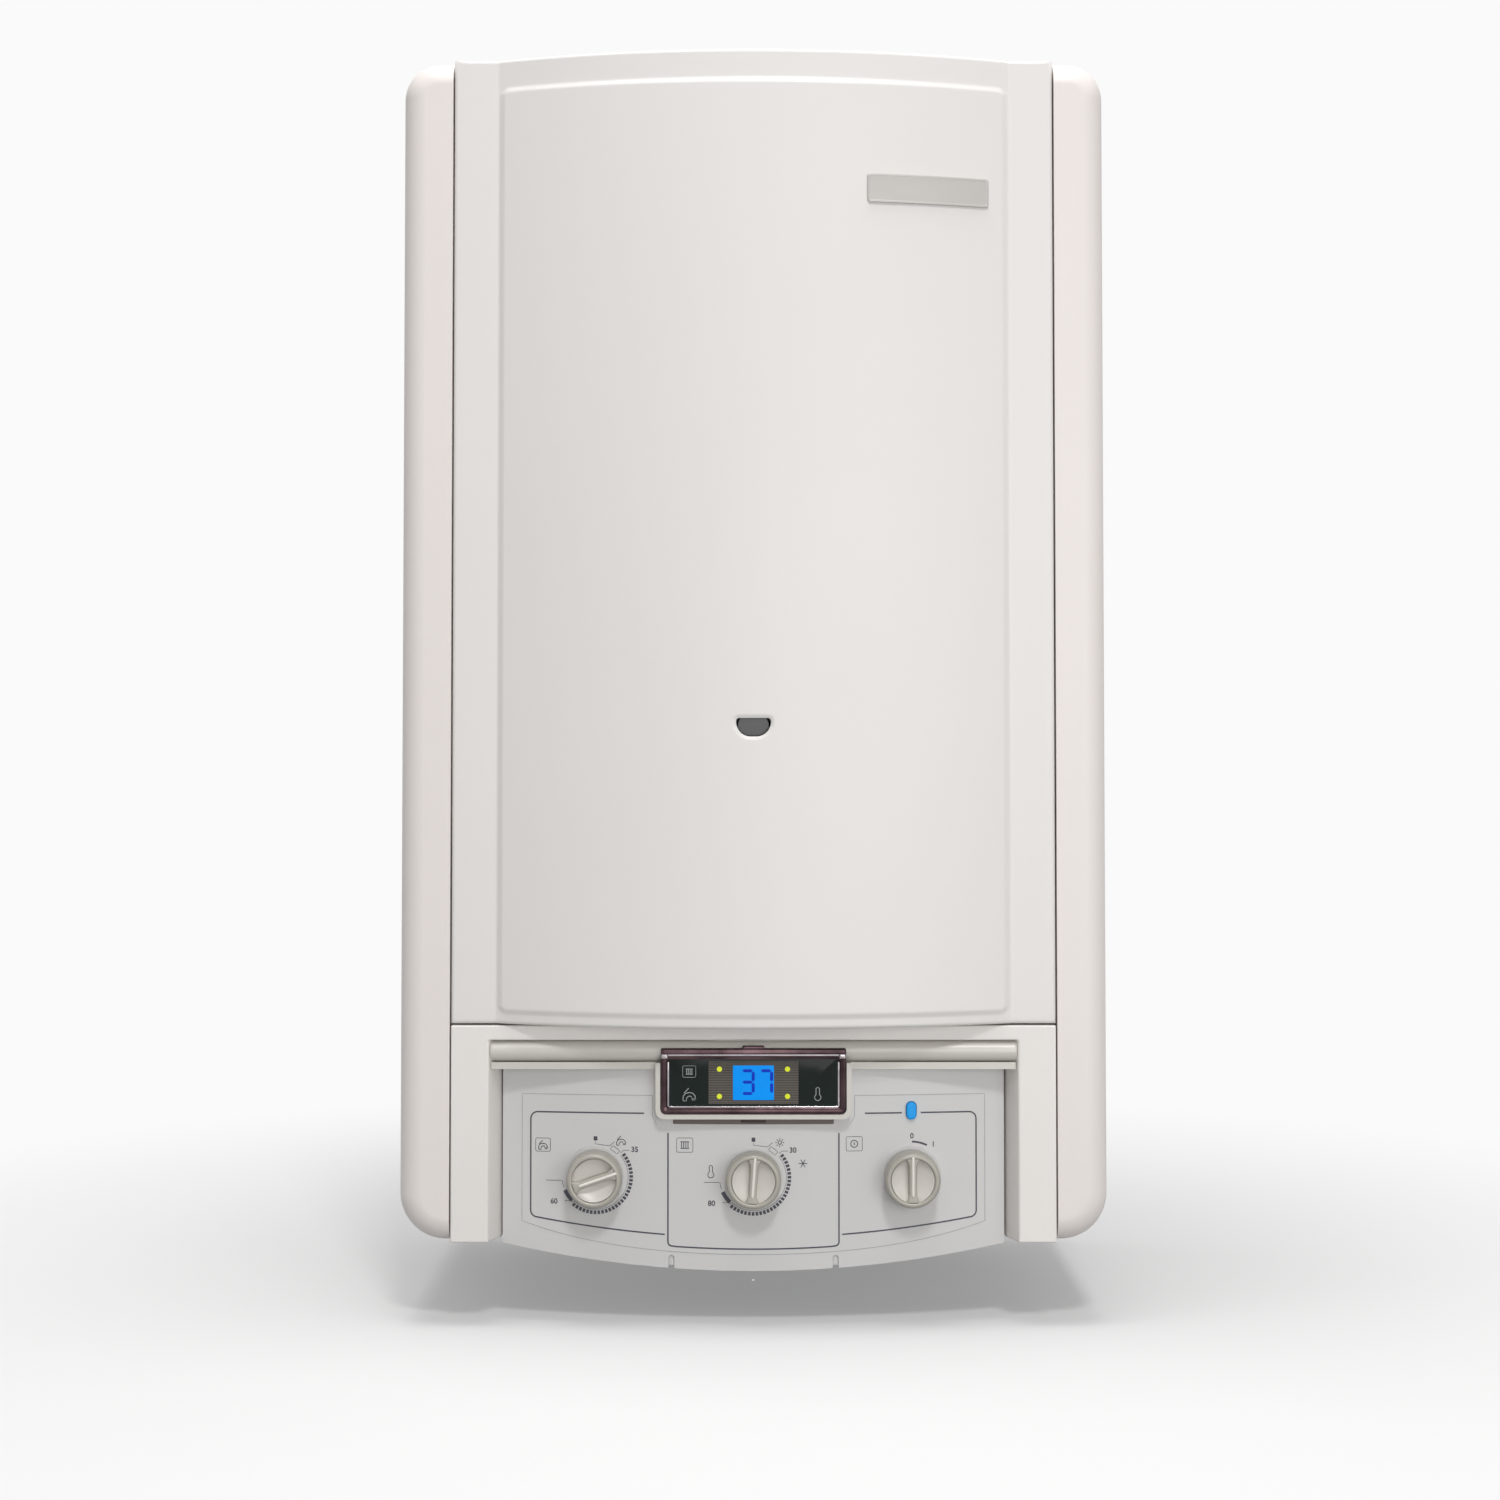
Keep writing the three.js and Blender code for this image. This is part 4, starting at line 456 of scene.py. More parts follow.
def arc(centre_u, centre_v, radius, start, end, steps):
    """Points along an arc, with its angles in degrees."""
    angles = [math.radians(start + (end - start) * i / steps) for i in range(steps + 1)]
    return [(centre_u + radius * math.cos(a), centre_v + radius * math.sin(a)) for a in angles]


def rounded_ring(span, radii, inset=0.0, along=16, corner=6):
    """Points round a rectangle (x0, x1, z0, z1) whose lower and upper corners have their own radii."""
    x0, x1, z0, z1 = span[0] + inset, span[1] - inset, span[2] + inset, span[3] - inset
    lower, upper = (max(radius - inset, 0.02 * MM) for radius in radii)
    arcs = [
        arc(x0 + lower, z0 + lower, lower, 180, 270, corner),
        arc(x1 - lower, z0 + lower, lower, 270, 360, corner),
        arc(x1 - upper, z1 - upper, upper, 0, 90, corner),
        arc(x0 + upper, z1 - upper, upper, 90, 180, corner),
    ]
    points = []
    for here, following in zip(arcs, arcs[1:] + arcs[:1]):
        points += here
        (u0, v0), (u1, v1) = here[-1], following[0]
        points += [(u0 + (u1 - u0) * i / along, v0 + (v1 - v0) * i / along) for i in range(1, along)]
    return points


def collapsed(span, points):
    """The same points drawn in to the rectangle's middle line, to close its face with clean quads."""
    x0, x1, z0, z1 = span
    half = min(x1 - x0, z1 - z0) / 2
    return [
        (min(max(x, x0 + half), x1 - half), min(max(z, z0 + half), z1 - half))
        for x, z in points
    ]


def plate(bm, span, radii, profile, ground, along=16):
    """A rounded rectangle built up in (inset, lift) steps from a ground surface that faces -Y."""
    def lifted(points, lift):
        return [(x, ground(x, z) - lift, z) for x, z in points]

    outline = rounded_ring(span, radii, along=along)
    rings = [lifted(collapsed(span, outline), profile[0][1])]
    for inset, lift in profile:
        rings.append(lifted(rounded_ring(span, radii, inset, along), lift))
    last = rounded_ring(span, radii, profile[-1][0], along)
    rings.append(lifted(collapsed(span, last), profile[-1][1]))
    loft(bm, rings)


def smooth(share):
    """Smooth step from 0 to 1."""
    share = min(max(share, 0.0), 1.0)
    return share * share * (3 - 2 * share)


def edge_distance(x, z, span, radii):
    """Signed distance from a rounded rectangle's outline, negative inside."""
    middle_x, middle_z = (span[0] + span[1]) / 2, (span[2] + span[3]) / 2
    radius = radii[0] if z < middle_z else radii[1]
    across = abs(x - middle_x) - (span[1] - span[0]) / 2 + radius
    up = abs(z - middle_z) - (span[3] - span[2]) / 2 + radius
    outside = math.hypot(max(across, 0.0), max(up, 0.0))
    return outside + min(max(across, up), 0.0) - radius


def spaced(start, end, coarse, zones):
    """Values from start to end, closer together within each zone (middle, reach, step)."""
    start, end = round(start, 7), round(end, 7)
    count = round((end - start) / coarse)
    values = {round(start + (end - start) * i / count, 7) for i in range(count + 1)}
    for middle, reach, step in zones:
        values = {v for v in values if abs(v - middle) > reach or v in (start, end)}
        steps = round(2 * reach / step)
        values |= {round(middle - reach + 2 * reach * i / steps, 7) for i in range(steps + 1)}
    return sorted(v for v in values if start <= v <= end)


# ---- Settings ----


class CasingSettings(bpy.types.PropertyGroup):
    """Sizes and colours of the steel casing."""

    front_round: length_setting("Front rounding", "Radius of the long front edges", 14 * MM)
    top_corner: length_setting("Top corner", "Radius of the upper corners", 21 * MM)
    bottom_corner: length_setting("Bottom corner", "Radius of the lower corners", 27 * MM)
    sheet: length_setting("Sheet", "Thickness of the steel sheet", 1.2 * MM)
    door_bulge: length_setting("Door bulge", "How far the door's middle stands out", 28 * MM)
    door_border: length_setting("Door border", "Width of the flat border each side", 26 * MM)
    door_fold: length_setting("Door fold", "Radius of the door's folded edges", 2.2 * MM)
    raised_height: length_setting("Raised panel", "Height of the pressed panel", 1.6 * MM)
    sight_width: length_setting("Sight hole width", "Width of the sight hole", 19.8 * MM)
    sight_height: length_setting("Sight hole height", "Height of the sight hole", 10.5 * MM)
    sight_level: FloatProperty(
        name="Sight hole level", description="Height of its middle", default=-46.5 * MM, unit="LENGTH"
    )
    door_colour: colour_setting("Door colour", "Powder coat of the door", "E5E2DF")
    side_colour: colour_setting("Side colour", "Powder coat of the side panels", "E9E2DE")
    badge_aside: length_setting("Badge place", "Badge's middle from the boiler's middle", 101 * MM)
    badge_width: length_setting("Badge width", "Width of the bare badge plate", 71 * MM)
    badge_height: length_setting("Badge height", "Height of the bare badge plate", 16.6 * MM)


class ControlSettings(bpy.types.PropertyGroup):
    """Sizes and colours of the control panel."""

    fascia_colour: colour_setting("Fascia colour", "Moulded frame round the controls", "EAE6E2")
    plate_colour: colour_setting("Plate colour", "Bowed control plate", "D2D1D0")
    rail_colour: colour_setting("Rail colour", "Satin rail and display hood", "CFCBC4")
    ink_colour: colour_setting("Ink colour", "Printed lines and numbers", "4A4A52")
    button_colour: colour_setting("Button colour", "Reset button", "00A2F5")
    plate_bulge: length_setting("Plate bulge", "How far the plate's middle stands out", 12 * MM)
    rail_radius: length_setting("Rail radius", "Radius of the round rail", 6.1 * MM)
    ring_colour: colour_setting("Knob colour", "Ring and grip bar of the knobs", "ABA79D")
    # The scoops' colour is a lighter copy of the knobs' silver paint: painted light where the lamps fall into them.
    scoop_lit_colour: colour_setting("Scoop colour", "Finger scoops of the knobs", "D8D3CC")
    pointer_colour: colour_setting("Pointer colour", "Pointer line of the knobs", "EBE6DF")
    bar: length_setting("Grip bar", "Width of a knob's grip bar", 4.6 * MM)
    ring: length_setting("Knob ring", "Width of a knob's ring", 3.4 * MM)
    hot_water_angle: angle_setting("Hot water pointer", 71)
    heating_angle: angle_setting("Heating pointer", 4)
    power_angle: angle_setting("Power pointer", 0)


class DisplaySettings(bpy.types.PropertyGroup):
    """What the display shows."""

    degrees: IntProperty(name="Degrees", description="Number on the display", default=37, min=0, max=99)
    screen_colour: colour_setting("Screen colour", "Backlit liquid crystal", "0096FF")
    digit_colour: colour_setting("Digit colour", "Segments of the digits", "0A3CC8")
    lamp_colour: colour_setting("Lamp colour", "Small lamps beside the screen", "E6F03C")
    symbol_colour: colour_setting("Symbol colour", "Symbols printed on the glass", "A0A8A4")
    digit_height: length_setting("Digit height", "Height of the digits", 13 * MM)


class StageSettings(bpy.types.PropertyGroup):
    """Floor, light and camera."""

    floor_level: FloatProperty(
        name="Floor level", description="Height of the floor under the boiler", default=-0.392, unit="LENGTH"
    )
    white: colour_setting("White", "Colour of floor and background", "FAFAFA")
    fill: FloatProperty(name="Fill", description="Strength of the light from all round", default=0.42)
    overhead: FloatProperty(name="Overhead", description="Power of the lamps above", default=34.0, unit="POWER")
    front: FloatProperty(name="Front", description="Power of the wide front lamp", default=12.5, unit="POWER")
    distance: length_setting("Distance", "Camera in front of the wall", 1.75)
    lens: FloatProperty(name="Lens", description="Focal length", default=62.1, unit="CAMERA")


# ---- Surfaces that several pieces share ----


def bow(half, bulge, edge, x):
    """Depth at x of a shallow arc that stands out by bulge from edge, over half each side."""
    radius = (half * half + bulge * bulge) / (2 * bulge)
    return edge - bulge + radius - math.sqrt(radius * radius - min(abs(x), half) ** 2)


def raised_span():
    """Outline of the door's pressed panel."""
    half = DOOR_HALF - 28 * MM
    return (-half, half, DOOR_LOW.z + 7 * MM, DOOR_HIGH.z - 18 * MM)


def sight_span(casing):
    half, high = casing.sight_width / 2, casing.sight_height / 2
    return (-half, half, casing.sight_level - high, casing.sight_level + high)


SIGHT_RADII = (8.4 * MM, 1.6 * MM)


def door_face(casing, x, z):
    """Depth of the door's face: the bow, the pressed panel and the rim of the sight hole."""
    depth = bow(DOOR_HALF - casing.door_border, casing.door_bulge, FRONT, x)
    within = -edge_distance(x, z, raised_span(), (5 * MM, 5 * MM))
    depth -= casing.raised_height * smooth(within / (4 * MM) + 0.5)
    beyond = edge_distance(x, z, sight_span(casing), SIGHT_RADII)
    return depth + 0.9 * MM * smooth(1 - beyond / (2 * MM))


def plate_face(x, z=0.0):
    """Depth of the control plate's face."""
    bulge = bpy.context.scene.boiler_controls.plate_bulge
    return bow(PLATE_HALF, bulge, FRONT + 16 * MM, x)


# ---- Printing ----

FINE_LINE = 0.28 * MM
INK_LIFT = 0.07 * MM  # half the thickness of a printed line


def ink_line(bm, points, width, ground=plate_face, closed=False, lift=INK_LIFT):
    """A printed line of a given width along points (x, z), laid on a ground surface."""
    fine = []
    links = list(zip(points, points[1:] + points[:1])) if closed else list(zip(points, points[1:]))
    for (x0, z0), (x1, z1) in links:
        steps = max(1, math.ceil(math.hypot(x1 - x0, z1 - z0) / (6 * MM)))
        fine += [(x0 + (x1 - x0) * i / steps, z0 + (z1 - z0) * i / steps) for i in range(steps)]
    if not closed:
        fine.append(points[-1])
    rings = []
    count = len(fine)
    for i, (x, z) in enumerate(fine):
        before = fine[i - 1] if i or closed else fine[0]
        after = fine[(i + 1) % count] if i < count - 1 or closed else fine[-1]
        along = Vector((after[0] - before[0], after[1] - before[1])).normalized()
        dx, dz = -along.y * width / 2, along.x * width / 2
        rings.append([
            (x + dx, ground(x + dx, z) - lift, z + dz),
            (x - dx, ground(x - dx, z) - lift, z - dz),
            (x - dx, ground(x - dx, z) + lift, z - dz),
            (x + dx, ground(x + dx, z) + lift, z + dz),
        ])
    loft(bm, rings, wrap=closed, caps=not closed)


def ink_text(bm, words, x, z, height):
    """Plain numbers set in the default typeface and laid on the control plate."""
    curve = bpy.data.curves.new("number", "FONT")
    curve.body = words
    curve.size = height * 1.4
    curve.offset = height * 0.03
    curve.extrude = INK_LIFT
    curve.align_x = "CENTER"
    curve.align_y = "CENTER"
    letters = bpy.data.objects.new("number", curve)
    bpy.context.scene.collection.objects.link(letters)
    graph = bpy.context.evaluated_depsgraph_get()
    mesh = bpy.data.meshes.new_from_object(letters.evaluated_get(graph))
    for vertex in mesh.vertices:
        u, v, w = vertex.co
        vertex.co = (x + u, plate_face(x + u) - w, z + v)
    bm.from_mesh(mesh)
    bpy.data.objects.remove(letters)
    bpy.data.curves.remove(curve)
    bpy.data.meshes.remove(mesh)


def circle(x, z, radius, start=0.0, end=360.0, steps=48):
    """Points round a circle, with angles clockwise from the top."""
    angles = [math.radians(start + (end - start) * i / steps) for i in range(steps + 1)]
    return [(x + radius * math.sin(a), z + radius * math.cos(a)) for a in angles]


def symbol_strokes(kind):
    """Strokes of a plain symbol, in shares of its height: lists of (x, z, closed)."""
    if kind == "tap":
        outer = [(-0.46, -0.5), (-0.46, -0.15), (-0.3, 0.05), (0.0, 0.14), (0.26, 0.08), (0.44, -0.12), (0.48, -0.4)]
        inner = [(-0.46, -0.5), (-0.22, -0.5), (-0.2, -0.28), (-0.04, -0.14), (0.12, -0.14), (0.2, -0.24)]
        drops = [([(x, -0.28), (x + 0.03, -0.48)], False) for x in (0.22, 0.35)]
        return [(outer, False), (inner, False), ([(-0.4, 0.08), (-0.2, 0.28), (-0.04, 0.46)], False), *drops]
    if kind == "radiator":
        bars = [([(x, -0.3), (x, 0.3)], False) for x in (-0.32, -0.11, 0.11, 0.32)]
        return bars + [([(-0.42, 0.32), (0.42, 0.32)], False), ([(-0.42, -0.32), (0.42, -0.32)], False)]
    if kind == "power":
        return [(circle(0, 0, 0.34, steps=20)[:-1], True), ([(0, -0.14), (0, 0.16)], False)]
    if kind == "sun":
        rays = [
            ([(0.3 * math.cos(a), 0.3 * math.sin(a)), (0.46 * math.cos(a), 0.46 * math.sin(a))], False)
            for a in (math.pi * i / 4 for i in range(8))
        ]
        return rays + [(circle(0, 0, 0.18, steps=14)[:-1], True)]
    if kind == "snowflake":
        arms = [math.pi * i / 3 for i in range(3)]
        return [
            ([(-0.45 * math.cos(a), -0.45 * math.sin(a)), (0.45 * math.cos(a), 0.45 * math.sin(a))], False)
            for a in arms
        ]
    bulb = circle(0, -0.26, 0.24, 34, 326, 14)
    return [(bulb + [(-0.13, 0.42), (0, 0.5), (0.13, 0.42)], True)]


def symbol(bm, kind, x, z, height, stroke, ground=plate_face, boxed=False):
    """A plain symbol, in a rounded box if asked."""
    scale = height * (0.72 if boxed else 1.0)
    for strokes, closed in symbol_strokes(kind):
        ink_line(bm, [(x + u * scale, z + v * scale) for u, v in strokes], stroke, ground, closed)
    if boxed:
        half, wide = height / 2, height * 0.57
        frame_line = rounded_ring((x - wide, x + wide, z - half, z + half), (0.8 * MM, 0.8 * MM), along=1, corner=3)
        ink_line(bm, frame_line, FINE_LINE, ground, True)


# ---- Operators ----


class BoilerOperator:
    """What the boiler's operators have in common."""

    bl_options = {"REGISTER", "UNDO"}

    def execute(self, context):
        self.build(context.scene)
        return {"FINISHED"}


class BOILER_OT_stage(BoilerOperator, bpy.types.Operator):
    """Floor, lamps, background and camera"""

    bl_idname = "boiler.stage"
    bl_label = "Stage"

    def build(self, scene):
        settings = scene.boiler_stage
        scene.view_settings.view_transform = "Standard"
        self.floor(scene, settings)
        self.world(scene, settings)
        lamps = [
            ("overhead", (-0.1, -0.45, 2.3), 1.2, settings.overhead),
            ("overhead_front", (0.3, -2.5, 2.4), 0.45, settings.overhead),
            ("front_fill", (0.5, -1.6, -0.3), 1.2, settings.front),
        ]
        for name, place, size, power in lamps:
            lamp = bpy.data.lights.new(name, "AREA")
            lamp.energy = power
            lamp.size = size
            holder = bpy.data.objects.new(name, lamp)
            scene.collection.objects.link(holder)
            holder.location = place
            aim = Vector((0, -0.2, -0.1)) - holder.location  # towards the front's lower half
            holder.rotation_euler = aim.to_track_quat("-Z", "Y").to_euler()
        self.camera(scene, settings)

    def floor(self, scene, settings):
        """A floor that shows the shadow near the boiler and fades into the plain background."""
        bm = bmesh.new()
        turns = [2 * math.pi * i / 64 for i in range(64)]
        rings = [
            [(r * math.cos(a), r * math.sin(a) - 0.12, settings.floor_level) for a in turns]
            for r in (0.001, 0.4, 1.2, 12.0)
        ]
        loft(bm, rings)
        mesh = mesh_from(bm, "floor")
        floor = bpy.data.objects.new("floor", mesh)
        scene.collection.objects.link(floor)
        # Matt paper sweep: pale and even, so that only the soft shadow shows on it.
        material, tree, surface, place = bare_material("paper_sweep")
        centred = add_node(
            tree, "ShaderNodeMapping", {"Location": (0, 0.12, -settings.floor_level)}, {"Vector": place}
        ).outputs["Vector"]
        reach = add_node(tree, "ShaderNodeVectorMath", links={0: centred}, operation="LENGTH").outputs["Value"]
        fade = add_node(
            tree,
            "ShaderNodeMapRange",
            {"From Min": 0.3, "From Max": 0.85},
            {"Value": reach},
            interpolation_type="SMOOTHSTEP",
        ).outputs["Result"]
        paper = add_node(tree, "ShaderNodeBsdfDiffuse", {"Color": tint(settings.white, 0.66)})
        glow = add_node(tree, "ShaderNodeEmission", {"Color": settings.white, "Strength": 0.22})
        lit = add_node(tree, "ShaderNodeAddShader", links={0: paper.outputs[0], 1: glow.outputs[0]})
        plain = add_node(tree, "ShaderNodeEmission", {"Color": settings.white, "Strength": 1.0})
        seen = add_node(tree, "ShaderNodeMixShader", links={0: fade, 1: lit.outputs[0], 2: plain.outputs[0]})
        bounce = add_node(tree, "ShaderNodeBsdfDiffuse", {"Color": tint(settings.white, 0.35)})
        shares = {0: eye_rays(tree), 1: bounce.outputs[0], 2: seen.outputs[0]}
        mixed = add_node(tree, "ShaderNodeMixShader", links=shares)
        tree.links.new(mixed.outputs[0], surface)
        mesh.materials.append(material)

    def world(self, scene, settings):
        """White for the eye and for reflections, and a weaker even light on the boiler."""
        world = bpy.data.worlds.new("studio")
        scene.world = world
        world.use_nodes = True
        tree = world.node_tree
        tree.nodes.clear()
        light = add_node(tree, "ShaderNodeBackground", {"Color": settings.white, "Strength": settings.fill})
        white = add_node(tree, "ShaderNodeBackground", {"Color": settings.white, "Strength": 1.0})
        shares = {0: eye_rays(tree), 1: light.outputs[0], 2: white.outputs[0]}
        mixed = add_node(tree, "ShaderNodeMixShader", links=shares)
        add_node(tree, "ShaderNodeOutputWorld", links={"Surface": mixed.outputs[0]})

    def camera(self, scene, settings):
        """Level with the lower third of the boiler, looking very slightly up."""
        camera = bpy.data.cameras.new("camera")
        camera.lens = settings.lens
        camera.sensor_width = 36
        camera.shift_y = -0.0795
        holder = bpy.data.objects.new("camera", camera)
        scene.collection.objects.link(holder)
        holder.location = (-2 * MM, -settings.distance, -43 * MM)
        holder.rotation_euler = (math.radians(90 + 2), 0, 0)  # level, then 2 degrees up
        scene.camera = holder


class BOILER_OT_casing(BoilerOperator, bpy.types.Operator):
    """Side panels of folded sheet with round front edges, and the sheets between them"""

    bl_idname = "boiler.casing"
    bl_label = "Casing"

    def build(self, scene):
        casing = scene.boiler_casing
        enamel = powder_coated_steel("powder_coated_side_steel", casing.side_colour)
        for side, word in ((-1, "left"), (1, "right")):
            shape = self.side_shape(side, casing)
            panel = add_piece(
                word + "_side_skin", shape, enamel, "root", "side_enamel", (word + "_side_panel",)
            )
            thicken(panel, casing.sheet)
            soften(panel, 0.35 * MM, 2, 40)
            panel.modifiers.move(0, 2)  # the normals' modifier goes last
        refine("top_panel", enamel, 0.3 * MM)
        for node in ("bottom_plate", "back_plate"):
            refine(node, galvanised_steel(), 0.3 * MM)
        for kind in ("_hanger", "_hinge_bracket"):
            for word in ("left", "right"):
                refine(word + kind, galvanised_steel(), 0.3 * MM)

    def side_shape(self, side, casing):
        """The panel's outline swept through a quarter round at its front edge."""
        upper, lower, round_off = casing.top_corner, casing.bottom_corner, casing.front_round
        contour = [((SEAM_HALF, TOP), (0, 1))]
        for centre_z, radius, start in ((TOP - upper, upper, 90), (-TOP + lower, lower, 0)):
            centre_x = HALF_WIDTH - radius
            for i in range(17):
                turn = math.radians(start - 90 * i / 16)
                normal = (math.cos(turn), math.sin(turn))
                contour.append(((centre_x + radius * normal[0], centre_z + radius * normal[1]), normal))
        contour.append(((SEAM_HALF, -TOP), (0, -1)))
        steps = 12
        rows = []
        for step in range(steps + 1):
            turn = math.pi / 2 * step / steps
            inset = round_off * (1 - math.sin(turn))
            depth = FRONT + round_off * (1 - math.cos(turn))
            rows.append([(side * (x - nx * inset), depth, z - nz * inset) for (x, z), (nx, nz) in contour])
        rows.append([(x, -1 * MM, z) for x, _, z in rows[-1]])
        bm = bmesh.new()
        made = loft(bm, rows, closed=False)
        bm.faces.new(made[0])
        edge_top = [row[0] for row in made[:-1]]
        edge_bottom = [row[-1] for row in made[:-1]]
        bm.faces.new(edge_top[::-1] + edge_bottom)
        return bm


class BOILER_OT_door(BoilerOperator, bpy.types.Operator):
    """Bowed front door with its pressed panel, folded edges and sight hole"""

    bl_idname = "boiler.door"
    bl_label = "Front door"

    def build(self, scene):
        casing = scene.boiler_casing
        fold = casing.door_fold
        half = DOOR_HALF - fold
        low, high = DOOR_LOW.z + fold, DOOR_HIGH.z - fold
        panel = raised_span()
        crease = DOOR_HALF - casing.door_border
        hole = casing.sight_level
        columns = spaced(-half, half, 6 * MM, [
            (-crease, 5 * MM, 0.7 * MM), (crease, 5 * MM, 0.7 * MM), (0, 14 * MM, 0.7 * MM),
        ])
        rows = spaced(low, high, 9 * MM, [
            (panel[2], 3 * MM, 0.7 * MM), (panel[3], 3 * MM, 0.7 * MM), (hole, 9 * MM, 0.7 * MM),
        ])
        bm = bmesh.new()
        loft(bm, [[(x, door_face(casing, x, z), z) for x in columns] for z in rows], closed=False)
        self.fold_edges(bm, casing, columns, rows)
        enamel = powder_coated_steel("powder_coated_door_steel", casing.door_colour)
        door = add_piece(
            "door_skin", bm, enamel, "front_door", "door_enamel", ("front_door",)
        )
        door.modifiers.clear()
        thicken(door, casing.sheet)
        cutter = self.sight_cutter(scene, casing)
        hole = door.modifiers.new("sight_hole", "BOOLEAN")
        hole.object = cutter
        hole.solver = "EXACT"
        settle(door)
        bpy.data.objects.remove(cutter)
        door.modifiers.new("normals", "WEIGHTED_NORMAL")

    def fold_edges(self, bm, casing, columns, rows):
        """Fold the sheet back all round, with a small radius."""
        border = [(x, rows[0]) for x in columns]
        border += [(columns[-1], z) for z in rows[1:]]
        border += [(x, rows[-1]) for x in reversed(columns[:-1])]
        border += [(columns[0], z) for z in reversed(rows[1:-1])]
        rings = []
        steps = 5
        for step in range(steps + 2):
            turn = math.pi / 2 * min(step, steps) / steps
            reach = casing.door_fold * math.sin(turn)
            ring = []
            for x, z in border:
                out_x = (x == columns[-1]) - (x == columns[0])
                out_z = (z == rows[-1]) - (z == rows[0])
                depth = door_face(casing, x, z) + casing.door_fold * (1 - math.cos(turn))
                if step > steps:
                    depth = DOOR_HIGH.y
                ring.append((x + out_x * reach, depth, z + out_z * reach))
            rings.append(ring)
        loft(bm, rings)

    def sight_cutter(self, scene, casing):
        """A prism of the sight hole's outline, to cut it out of the sheet."""
        outline = rounded_ring(sight_span(casing), SIGHT_RADII, along=4, corner=12)
        bm = bmesh.new()
        loft(bm, [[(x, y, z) for x, z in outline] for y in (DOOR_LOW.y - 0.01, DOOR_LOW.y + 0.02)], caps=True)
        cutter = bpy.data.objects.new("sight_cutter", mesh_from(bm, "sight_cutter"))
        scene.collection.objects.link(cutter)
        return cutter


class BOILER_OT_badge(BoilerOperator, bpy.types.Operator):
    """Bare metal badge plate that follows the door"""

    bl_idname = "boiler.badge"
    bl_label = "Badge plate"

    def build(self, scene):
        casing = scene.boiler_casing
        level = centre("badge_plate")[2]
        half, high = casing.badge_width / 2, casing.badge_height / 2
        span = (casing.badge_aside - half, casing.badge_aside + half, level - high, level + high)
        profile = [
            (0.3 * MM, 0.2 * MM), (0, 0.5 * MM), (0, 1.2 * MM), (0.25 * MM, 1.6 * MM),
            (1.0 * MM, 1.7 * MM), (1.3 * MM, 1.35 * MM), (1.6 * MM, 1.3 * MM),
        ]
        bm = bmesh.new()
        plate(bm, span, (1.8 * MM, 1.8 * MM), profile, lambda x, z: door_face(casing, x, z), along=24)
        add_piece("badge_face", bm, brushed_badge(), "front_door", "badge_silver", ("badge_plate",))


class BOILER_OT_fascia(BoilerOperator, bpy.types.Operator):
    """Fascia frame, bowed control plate, its rail and the hood round the display"""

    bl_idname = "boiler.fascia"
    bl_label = "Fascia and control plate"

    def build(self, scene):
        controls = scene.boiler_controls
        fascia = moulded_abs("moulded_abs_fascia", controls.fascia_colour)
        refine("fascia_frame", fascia, 0.9 * MM, 3)
        grey = moulded_abs("moulded_abs_plate", controls.plate_colour, 0.55)
        refine("control_plate", grey, 0.5 * MM, 2)
        satin = silver_painted_abs("silver_painted_abs_rail", controls.rail_colour)
        refine("display_hood", satin, 0.9 * MM, 3)
        self.rail(controls, satin)
        self.slot_floors(grey)
        self.hood_shadow_band()

    def hood_shadow_band(self):
        """Painted shadow band on the plate under the display hood, darker still in its middle where a slot's shaded
        opening is painted.
        """
        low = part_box("display_hood")[0].z
        # Both colours are painted shade: the hood's cast shadow on the plate, and the shaded opening of a slot in its
        # middle.
        dark = moulded_abs("moulded_dark_foot", linear("6A605B"), 0.6)
        notch = moulded_abs("moulded_notch", linear("3A2E2C"), 0.6)
        for name, half, drop, lift, material in (
            ("hood_shadow_band", 46.5 * MM, 3.6 * MM, 0.4 * MM, dark),
            ("hood_slot_shade", 7.2 * MM, 2.6 * MM, 0.9 * MM, notch),
        ):
            bm = bmesh.new()
            span = (-half, half, low - drop, low + 0.6 * MM)
            plate(bm, span, (0.8 * MM, 0.2 * MM), [(0, -0.6 * MM), (0, lift - 0.2 * MM), (0.3 * MM, lift)], plate_face)
            add_piece(name, bm, material, "control_panel", "black_plastic")

    def slot_floors(self, grey):
        """Shallow floors that close the two grooves in the plate's chin."""
        bm = bmesh.new()
        for x in (-47.4 * MM, 47.4 * MM):
            span = (x - 1.9 * MM, x + 1.9 * MM, PLATE_LOW.z + 2.2 * MM, PLATE_LOW.z + 10 * MM)
            plate(bm, span, (0.2 * MM, 1.8 * MM), [(0, -2.4 * MM), (0, -1.2 * MM)], plate_face, 2)
        add_piece("groove_floors", bm, grey, "control_panel", "panel_plastic")

    def rail(self, controls, satin):
        """Round rail with softened ends, on the web that carries it."""
        low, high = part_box("panel_rail")
        radius = controls.rail_radius
        axis_y, axis_z = low.y + radius, (low.z + high.z) / 2
        section = arc(axis_y, axis_z, radius, 90, 270, 24) + [(high.y, low.z), (high.y, high.z)]
        ends = [(0.0, 0.8), (0.25 * MM, 0.92), (0.9 * MM, 0.985), (1.8 * MM, 1.0)]
        stations = [(low.x + reach, share) for reach, share in ends]
        stations += [(high.x - reach, share) for reach, share in reversed(ends)]
        middle_y = (low.y + high.y) / 2
        rings = [
            [(x, middle_y + (y - middle_y) * share, axis_z + (z - axis_z) * share) for y, z in section]
            for x, share in stations
        ]
        bm = bmesh.new()
        loft(bm, rings, caps=True)
        add_piece("round_rail", bm, satin, "control_panel", "satin_silver", ("panel_rail",), 0.2 * MM)


